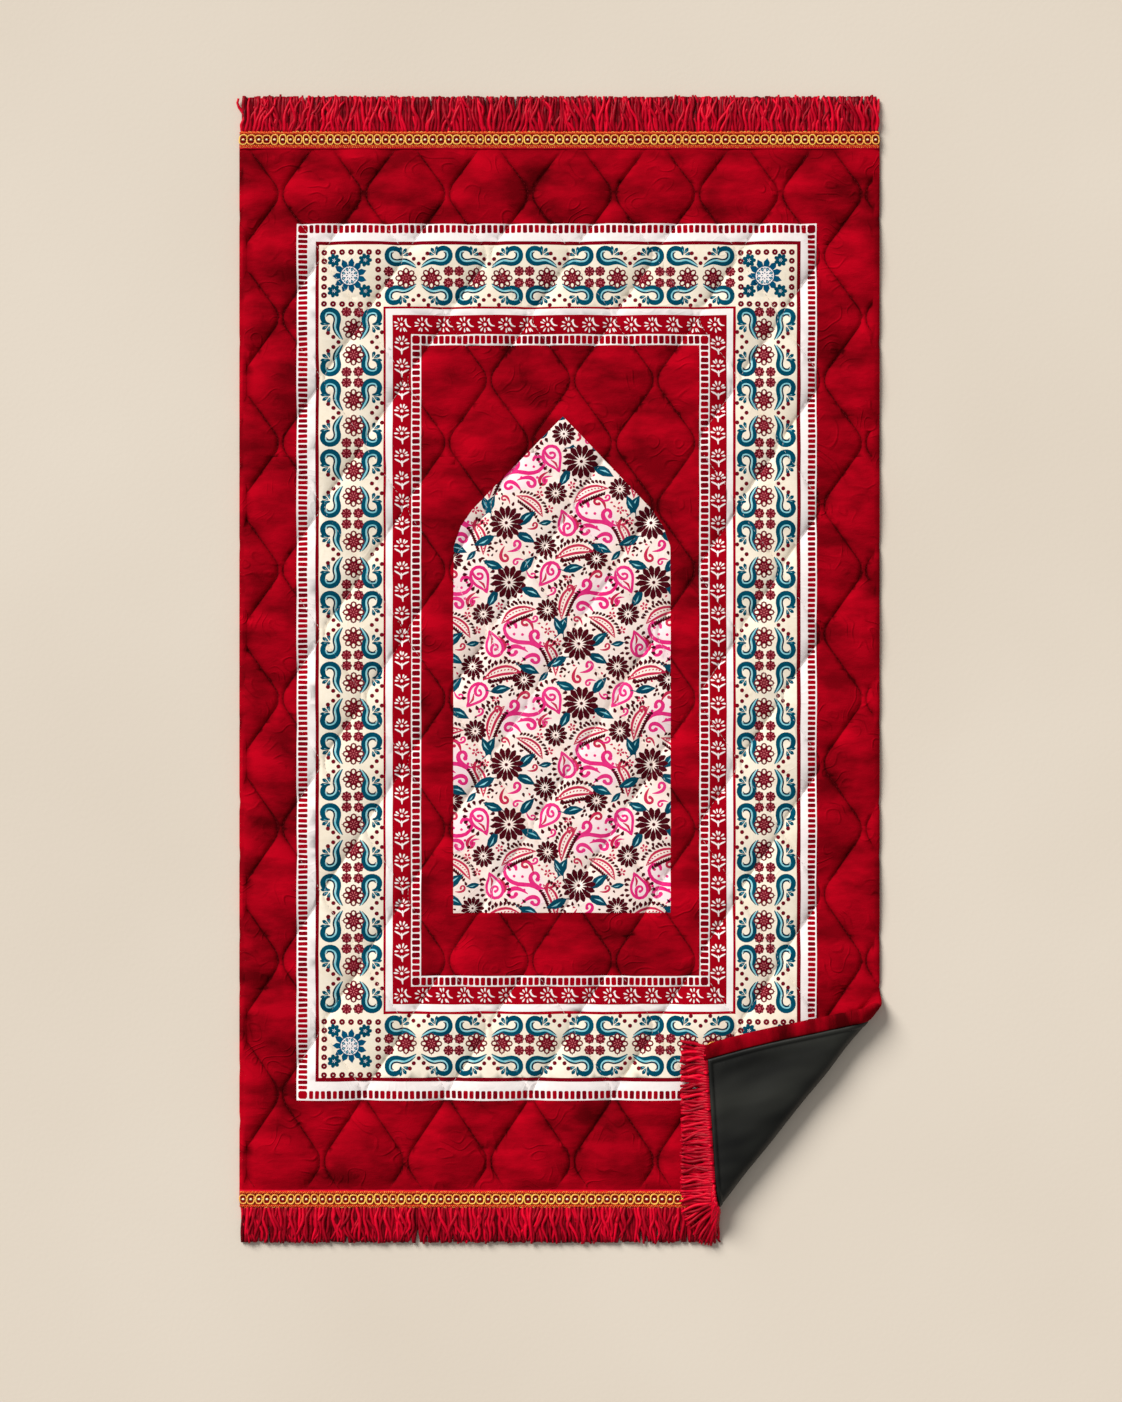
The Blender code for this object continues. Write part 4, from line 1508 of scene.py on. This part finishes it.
fringe = {
    "yarns": 320,
    "bed": 300,
    "kinds": {  # radius, radius at the tip, share of the wave, share of the raggedness
        "flap": (1.75, 1.3, 0.6, 0.4),
        "bed": (2.1, 1.9, 0.3, 0.4),  # thicker yarns underneath
        "upper": (1.75, 1.05, 1, 1),
    },
    "length": 39.0,
    "ragged": 4.0,
    "stations": 9,
    "lean": 10.0,  # degrees that whole locks lean
    "stray": 7.0,  # degrees that one yarn strays
    "edgeLean": (8, 1),  # how far out the last ones may lean, at the bottom and at the top
    "wave": 2.5,
    "root": (1.3, 3.4),  # lowest and highest roots
    "flapHeight": 9.8,
    "flapTips": 120.0,  # x at which the yarns of the flap end
    "flapStray": 0.3,
    "flapSpread": 9,
    "fanLeft": 183,
    "fanDown": 257,
    "edgeFrom": 308,
    "inset": 2.2,
    "heading": [(543.9, 1.2, 1.2), (543.9, 2.9, 1.0), (541.4, 0.9, 0.9), (541.2, 2.7, 1.1)],
    "headingStep": 6.5,
    "knots": (-300.0, 318, 15.4),  # first, last, pitch
}


def yarnCourse(x, end):  # the direction of a yarn, its length, and the height it rests at
    root = np.array([(x, end * rug["halfLength"], 0)])
    out = foldPlace(root)[1][0]
    turn = min(max(out / arcLength, 0), 1)
    if end > 0:
        return 90, fringe["length"], 0
    if turn <= 0:
        return 270, fringe["length"], 0
    if turn < 0.5:
        return 270 + (fringe["fanDown"] - 270) * turn * 2, fringe["length"], 0
    fan = float(soft(turn * 2 - 1))
    toTips = foldOver(root)[0][0] - fringe["flapTips"]
    way = fringe["fanDown"] + (fringe["fanLeft"] - fringe["fanDown"]) * fan
    length = fringe["length"] + (toTips - fringe["length"]) * fan
    return way, length, fringe["flapHeight"] * (1 + fan) / 2


def yarnLean(x, end, flap, bed, chance):  # in whole locks, and each yarn by itself
    lock = noise.noise((x / 15.0, end * 3.3, 0.4)) + 0.5 * noise.noise((x / 6.0, end * 3.3, 2.4))
    lean = fringe["lean"] * lock * 2 + chance.gauss(0, fringe["stray"])
    if flap:
        lean = lean * fringe["flapStray"] - fringe["flapSpread"] * float(soft((x - 312) / 10))
    if bed:
        lean *= 0.2
    if abs(x) > fringe["edgeFrom"] and not flap:  # the last ones hardly lean out past the cloth
        outward = -end if x > 0 else end
        lean = min(lean * outward, fringe["edgeLean"][end > 0]) * outward
    return lean


def yarnRun(x, end, layer, chance):
    way, length, rest = yarnCourse(x, end)
    flap, bed = rest > 0, layer == 0
    kind = "flap" if flap else "bed" if bed else "upper"
    radius, tip, waving, raggedness = fringe["kinds"][kind]
    length -= chance.uniform(0, raggedness) * fringe["ragged"]
    direction = radians(way + yarnLean(x, end, flap, bed, chance))
    low, high = fringe["root"]
    rootHeight = low + (high - low) * (layer + chance.uniform(0, 0.5)) / 2.5
    inner = rug["halfLength"] - 1.5 - (0.8 if bed else 0)
    foot = Vector(foldOver(np.array([(x, end * inner, rootHeight)]))[0])
    loose = fringe["wave"] * waving
    bow = chance.uniform(-2.8, 2.8) * loose
    wave = chance.uniform(0.3, 1.2) * loose
    phase, turns = chance.uniform(0, 2 * pi), chance.uniform(0.6, 1.5)
    ride = 0.3 + layer * 1.9  # the upper layers ride over the bed and come down at their tips
    path, radii = [], []
    for k in range(fringe["stations"]):
        t = k / (fringe["stations"] - 1)
        reachOut = length * t
        aside = wave * sin(phase + 2 * pi * turns * t) * min(t * 3, 1) + bow * t * t
        px = foot.x + cos(direction) * reachOut - sin(direction) * aside
        py = foot.y + sin(direction) * reachOut + cos(direction) * aside
        droop = float(soft(t * 1.7 if flap else t * 2.2))
        lift = 0.9 * sin(phase * 1.7 + 2 * pi * turns * 0.8 * t) * min(t * 3, 1)
        settled = rest + radius + max(ride * (1 - 0.4 * t) + lift, 0)
        pz = foot.z * (1 - droop) + settled * droop
        path.append((px, py, max(pz, radius)))
        radii.append(radius + (tip - radius) * max(t - 0.6, 0) / 0.4)
    # the tone differs at random, and painted shade makes the lower layers darker and the bed under
    # them darkest off the flap
    shade = chance.uniform(0.35, 1.0) * (0.8 + 0.1 * layer)
    if bed:
        shade = chance.uniform(0.5, 0.8) if flap else chance.uniform(0.1, 0.45)
    return path, radii, shade


def headingRuns(end):  # woven head behind the yarns: rows of cord along the rug
    runs = []
    wide = rug["halfWidth"] - 0.5
    xs = np.arange(-wide, wide + 0.1, fringe["headingStep"])
    for y, z, radius in fringe["heading"]:
        flat = [(x, end * y, z) for x in xs]
        runs.append((foldOver(np.array(flat)), [radius] * len(xs), 0.35))
    return runs


def knotRuns(end):  # small knots that show where the fringe is sewn to the folded edge
    runs = []
    x, last, pitch = fringe["knots"]
    while x < last:
        knot = [(x - 0.4, end * 543.6, -0.5), (x, end * 545.2, -1.3), (x + 0.4, end * 546.8, -0.4)]
        if foldPlace(knot)[1][1] > arcLength * 0.55:
            runs.append((foldOver(knot), [0.9, 1.5, 0.9], 1.0))
        x += pitch
    return runs


bundle = {  # yarns that fall from the foot of the fold over the braid's end
    "number": 70,
    "from": 150,  # x of the first
    "wide": 56,
    "depth": -2.0,
    "ways": (250, 264),
    "fan": 6,
    "lengths": (29, 38),
    "shorter": 4,  # at the far side
    "bow": 3,
    "heights": (7, 13),
    "radius": 1.45,
    "lowest": 1.4,
}


def bundleRun(chance):
    share = chance.random()
    x = bundle["from"] + bundle["wide"] * share
    top = Vector(foldOver(np.array([(x, -rug["halfLength"], bundle["depth"])]))[0])
    way = radians(chance.uniform(*bundle["ways"]) + bundle["fan"] * share)
    length = chance.uniform(*bundle["lengths"]) - bundle["shorter"] * share
    bow = chance.uniform(-bundle["bow"], bundle["bow"])
    phase = chance.uniform(0, 2 * pi)
    height = chance.uniform(*bundle["heights"])
    path = []
    for k in range(fringe["stations"]):
        t = k / (fringe["stations"] - 1)
        aside = bow * t * t + 0.8 * sin(phase + 5 * t)
        droop = float(soft(t * 1.3))
        pz = top.z * (1 - droop) + (height * (1 - t) + 3) * droop
        px = top.x + cos(way) * length * t - sin(way) * aside
        py = top.y + sin(way) * length * t + cos(way) * aside
        path.append((px, py, max(pz, bundle["lowest"])))
    radii = [bundle["radius"]] * (fringe["stations"] - 2) + [1.2, 0.8]
    return path, radii, chance.uniform(0.5, 1.0)


def buildFringe(name, node, end):
    chance = random.Random(31 if end > 0 else 47)
    runs = []
    count = fringe["yarns"]
    wide = rug["halfWidth"] - fringe["inset"]
    for k in range(fringe["bed"]):
        x = ((k + 0.5) / fringe["bed"] * 2 - 1) * (wide - 1)
        runs.append(yarnRun(x, end, 0, chance))
    for k in range(count):
        x = (k + 0.5 + chance.uniform(-0.5, 0.5)) / count * 2 - 1
        runs.append(yarnRun(x * wide, end, 1 + k % 2, chance))
    if end < 0:
        runs += [bundleRun(chance) for _ in range(bundle["number"])]
    groups = [(0, tubes(runs, 6)), (0, tubes(headingRuns(end) + knotRuns(end), 6))]
    piece = joinTubes(name, groups, [yarnRed])
    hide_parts(node)
    return piece


fringeTop = buildFringe("fringeYarnTop", "fringe_top", 1)
fringeBottom = buildFringe("fringeYarnBottom", "fringe_bottom", -1)
print(f"fringes: {len(fringeTop.data.polygons)} and {len(fringeBottom.data.polygons)} faces")


braid = {
    "middle": 537.2,  # y of its middle
    "base": 3.9,
    "pitch": 8.02,
    "ringHalf": (3.7, 4.7),  # along the braid and across it
    "ringSides": 14,
    "ringThread": 0.86,
    "bead": 1.35,
    "beadShape": [  # along, height, radius
        (-1, 0.9, 0.35), (-0.6, 1.1, 0.95), (0, 1.2, 1.2), (0.6, 1.1, 0.95), (1, 0.9, 0.35),
    ],
    "halfLength": 324.2,
    "edgeAt": 6.7,
    "edgeTwist": 4.1,
    "edgeSwing": (0.75, 0.5),
    "edgeThread": 0.56,
    "edgeStep": 0.78,
    "loopPitch": 4.05,
    "loopThread": 0.42,
    "loopShape": [  # along, share of its reach, height
        (-1.5, 0, 0.8), (-1.3, 0.7, 0.9), (0, 1, 0.7), (1.3, 0.7, 0.9), (1.5, 0, 0.8),
    ],
    "ground": [  # across, radius
        (-5.4, 1.215), (-3.4, 1.08), (-1.2, 0.945), (1.2, 0.945), (3.4, 1.08), (5.4, 1.215),
    ],
    "cordAt": 8.3,
    "cordThread": 1.25,
}


def alongBraid(end, points):  # x along, v across from the braid's middle outward, z up
    flat = [(x, end * (braid["middle"] + v), braid["base"] + z) for x, v, z in points]
    return foldOver(np.array(flat))


def braidRings(end, chance):  # squarish gold rings, and a pale bead in each
    rings, beads = [], []
    count = int(2 * rug["halfWidth"] / braid["pitch"])
    for k in range(count):
        x = (k - (count - 1) / 2) * braid["pitch"] + chance.uniform(-0.3, 0.3)
        wide = braid["ringHalf"][0] * chance.uniform(0.86, 1.1)
        tall = braid["ringHalf"][1] * chance.uniform(0.9, 1.08)
        tilt = chance.uniform(-1, 1)
        ring = []
        for n in range(braid["ringSides"] + 1):
            turn = 2 * pi * n / braid["ringSides"]
            c, s = cos(turn), sin(turn)
            square = (abs(c) ** 3 + abs(s) ** 3) ** (-1 / 3)
            ring.append((x + wide * c * square + 0.35 * tilt * s, tall * s * square,
                         1.0 + 0.25 * sin(2 * turn)))
        radii = [braid["ringThread"]] * len(ring)
        rings.append((alongBraid(end, ring), radii, chance.uniform(0.6, 1)))
        size = braid["bead"] * chance.uniform(0.85, 1.15)
        bead = [(x + size * along, 0, z) for along, z, _ in braid["beadShape"]]
        radii = [radius for _, _, radius in braid["beadShape"]]
        beads.append((alongBraid(end, bead), radii, chance.uniform(0.4, 1)))
    return rings, beads


def edgeStrand(end, side, strand):
    length = braid["halfLength"]
    steps = int(2 * length / braid["edgeStep"])
    aside, lift = braid["edgeSwing"]
    path = []
    for k in range(steps + 1):
        x = -length + 2 * length * k / steps
        turn = 2 * pi * x / braid["edgeTwist"] + pi * strand
        path.append((x, side * braid["edgeAt"] + aside * cos(turn), 1.0 + lift * sin(turn)))
    return alongBraid(end, path), [braid["edgeThread"]] * len(path), 0.35 + 0.5 * strand


def braidEdges(end, chance):  # two strands twisted along each edge, with small loops outside
    gold, orange = [], []
    pitch = braid["loopPitch"]
    for side in (-1, 1):
        orange += [edgeStrand(end, side, strand) for strand in (0, 1)]
        for k in range(int(2 * braid["halfLength"] / pitch)):
            x = -braid["halfLength"] + pitch * (k + 0.5) + chance.uniform(-0.4, 0.4)
            reach = chance.uniform(0.5, 1.5) * side
            base = side * (braid["edgeAt"] + 0.4)
            loop = [(x + u, base + reach * share, z) for u, share, z in braid["loopShape"]]
            runs = orange if chance.random() < 0.5 else gold
            radii = [braid["loopThread"]] * len(loop)
            runs.append((alongBraid(end, loop), radii, chance.uniform(0.5, 1)))
    return gold, orange


def straightRun(end, v, z, radius, shade):
    xs = np.arange(-braid["halfLength"], braid["halfLength"] + 0.1, 4.0)
    return alongBraid(end, [(x, v, z) for x in xs]), [radius] * len(xs), shade


def buildBraid(name, node, end):
    chance = random.Random(5 if end > 0 else 9)
    rings, beads = braidRings(end, chance)
    gold, orange = braidEdges(end, chance)
    ground = [straightRun(end, v, 0.35, radius, 0.5 + 0.1 * v / 5) for v, radius in braid["ground"]]
    cord = straightRun(end, -braid["cordAt"], 0.0, braid["cordThread"], 0.85)
    groups = [(0, tubes(rings + gold, 5)), (1, tubes(orange, 5)), (2, tubes(beads, 6)),
              (3, tubes(ground, 6)), (4, tubes([cord], 8))]
    looks = [goldThread, orangeThread, beadThread, braidGround, yarnRed]
    piece = joinTubes(name, groups, looks)
    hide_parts(node)
    return piece


braidTop = buildBraid("braidGoldTop", "braid_top", 1)
braidBottom = buildBraid("braidGoldBottom", "braid_bottom", -1)
print(f"braids: {len(braidTop.data.polygons)} and {len(braidBottom.data.polygons)} faces")


stitch = {
    "step": 1.0,  # how finely a line is followed
    "pitch": 3.9,
    "length": 2.6,
    "thread": 0.22,
    "arch": (-0.1, 0.25, -0.1),
    "sink": -0.05,
}
stitchRed = threadMaterial(
    "stitchRed", tone(60, 0, 2), tone(132, 2, 14), 0.0009, 0.0001,
    Roughness=0.6, Specular_IOR_Level=0.15,
)
stitchPale = threadMaterial(
    "stitchPale", tone(190, 176, 172), tone(236, 228, 226), 0.0009, 0.0001, Roughness=0.6,
)


def inFrame(name, x, y):
    left, right, bottom, top = frames[name]
    return left < x < right and bottom < y < top


def onPrint(x, y):
    if inFrame("field", x, y):
        return holds(niche["outline"], x, y)
    return inFrame("outerLadder", x, y)


def buildStitches():
    reds, pales = [], []
    for line in stitchedLines(stitch["step"]):
        travelled, start = 0.0, None
        for before, here in zip(line, line[1:]):
            travelled += sqrt((here[0] - before[0]) ** 2 + (here[1] - before[1]) ** 2)
            if start is None:
                start = here
            elif travelled >= stitch["length"] and start != "gap":
                middle = ((start[0] + here[0]) / 2, (start[1] + here[1]) / 2)
                xs = np.array([start[0], middle[0], here[0]])
                ys = np.array([start[1], middle[1], here[1]])
                lift = np.array(stitch["arch"]) + stitch["sink"]
                if abs(middle[1]) < rug["underBraid"] - 3:
                    path = foldOver(np.column_stack((xs, ys, quiltTop(xs, ys)[0] + lift)))
                    run = (path, [stitch["thread"]] * 3, 0.7)
                    (pales if onPrint(*middle) else reds).append(run)
                start = "gap"
            elif travelled >= stitch["pitch"]:
                travelled, start = 0.0, here
    groups = [(0, tubes(reds, 4)), (1, tubes(pales, 4))]
    piece = joinTubes("quiltingStitches", groups, [stitchRed, stitchPale])
    return piece


quiltingStitches = buildStitches()
print(f"stitches: {len(quiltingStitches.data.polygons)} faces")


# Floor, light and camera
def buildFloor():
    mesh = bpy.data.meshes.new("paleFloor")
    size, level = 6.0, -0.0003
    corners = [(-size, -size, level), (size, -size, level), (size, size, level),
               (-size, size, level)]
    mesh.from_pydata(corners, [], [(0, 1, 2, 3)])
    material, tree, shader = newMaterial("floorPlaster", Roughness=0.85, Specular_IOR_Level=0.2)
    place = addNode(tree, "ShaderNodeTexCoord").outputs["Object"]
    clouds = spread(tree, noiseAt(tree, place, 1.6, 3.0), 0.3, 0.7)
    look = mixColours(tree, clouds, tone(222, 211, 196), tone(229, 219, 205))
    tree.links.new(look, shader.inputs["Base Color"])
    grain = noiseAt(tree, place, 240.0, 2.0)
    bump(tree, shader, grain, 0.08, 0.001)
    mesh.materials.append(material)
    floor = bpy.data.objects.new("paleFloor", mesh)
    scene.collection.objects.link(floor)


daylight = {
    "towards": (0.56, -0.66, -0.6),
    "strength": 3.95,
    "spread": 30,  # degrees, as through a wide window
    "tint": (1.0, 0.975, 0.94),
    "room": 0.3,
    "roomTint": (1.0, 0.98, 0.96, 1),
}


def buildWindow():
    data = bpy.data.lights.new("window", "SUN")
    data.energy = daylight["strength"]
    data.angle = radians(daylight["spread"])
    data.color = daylight["tint"]
    lamp = bpy.data.objects.new("window", data)
    lamp.rotation_euler = Vector(daylight["towards"]).to_track_quat("-Z", "Y").to_euler()
    scene.collection.objects.link(lamp)


def buildRoom():
    world = bpy.data.worlds.new("softRoom")
    world.use_nodes = True
    background = world.node_tree.nodes["Background"]
    background.inputs["Color"].default_value = daylight["roomTint"]
    background.inputs["Strength"].default_value = daylight["room"]
    scene.world = world


view = {"lens": 80, "sensor": 36, "middle": (1.5, -32.0), "tall": 1423.9}


def buildCamera():
    data = bpy.data.cameras.new("overheadCamera")
    data.lens = view["lens"]
    data.sensor_fit = "VERTICAL"
    data.sensor_height = view["sensor"]
    data.clip_end = 50
    camera = bpy.data.objects.new("overheadCamera", data)
    x, y = view["middle"]
    distance = view["lens"] / view["sensor"] * view["tall"] * 0.001
    camera.location = (x * 0.001, y * 0.001, distance)
    scene.collection.objects.link(camera)
    bpy.context.scene.camera = camera


buildFloor()
buildWindow()
buildRoom()
scene.view_settings.view_transform = "Standard"
buildCamera()
print("floor, daylight and camera placed")
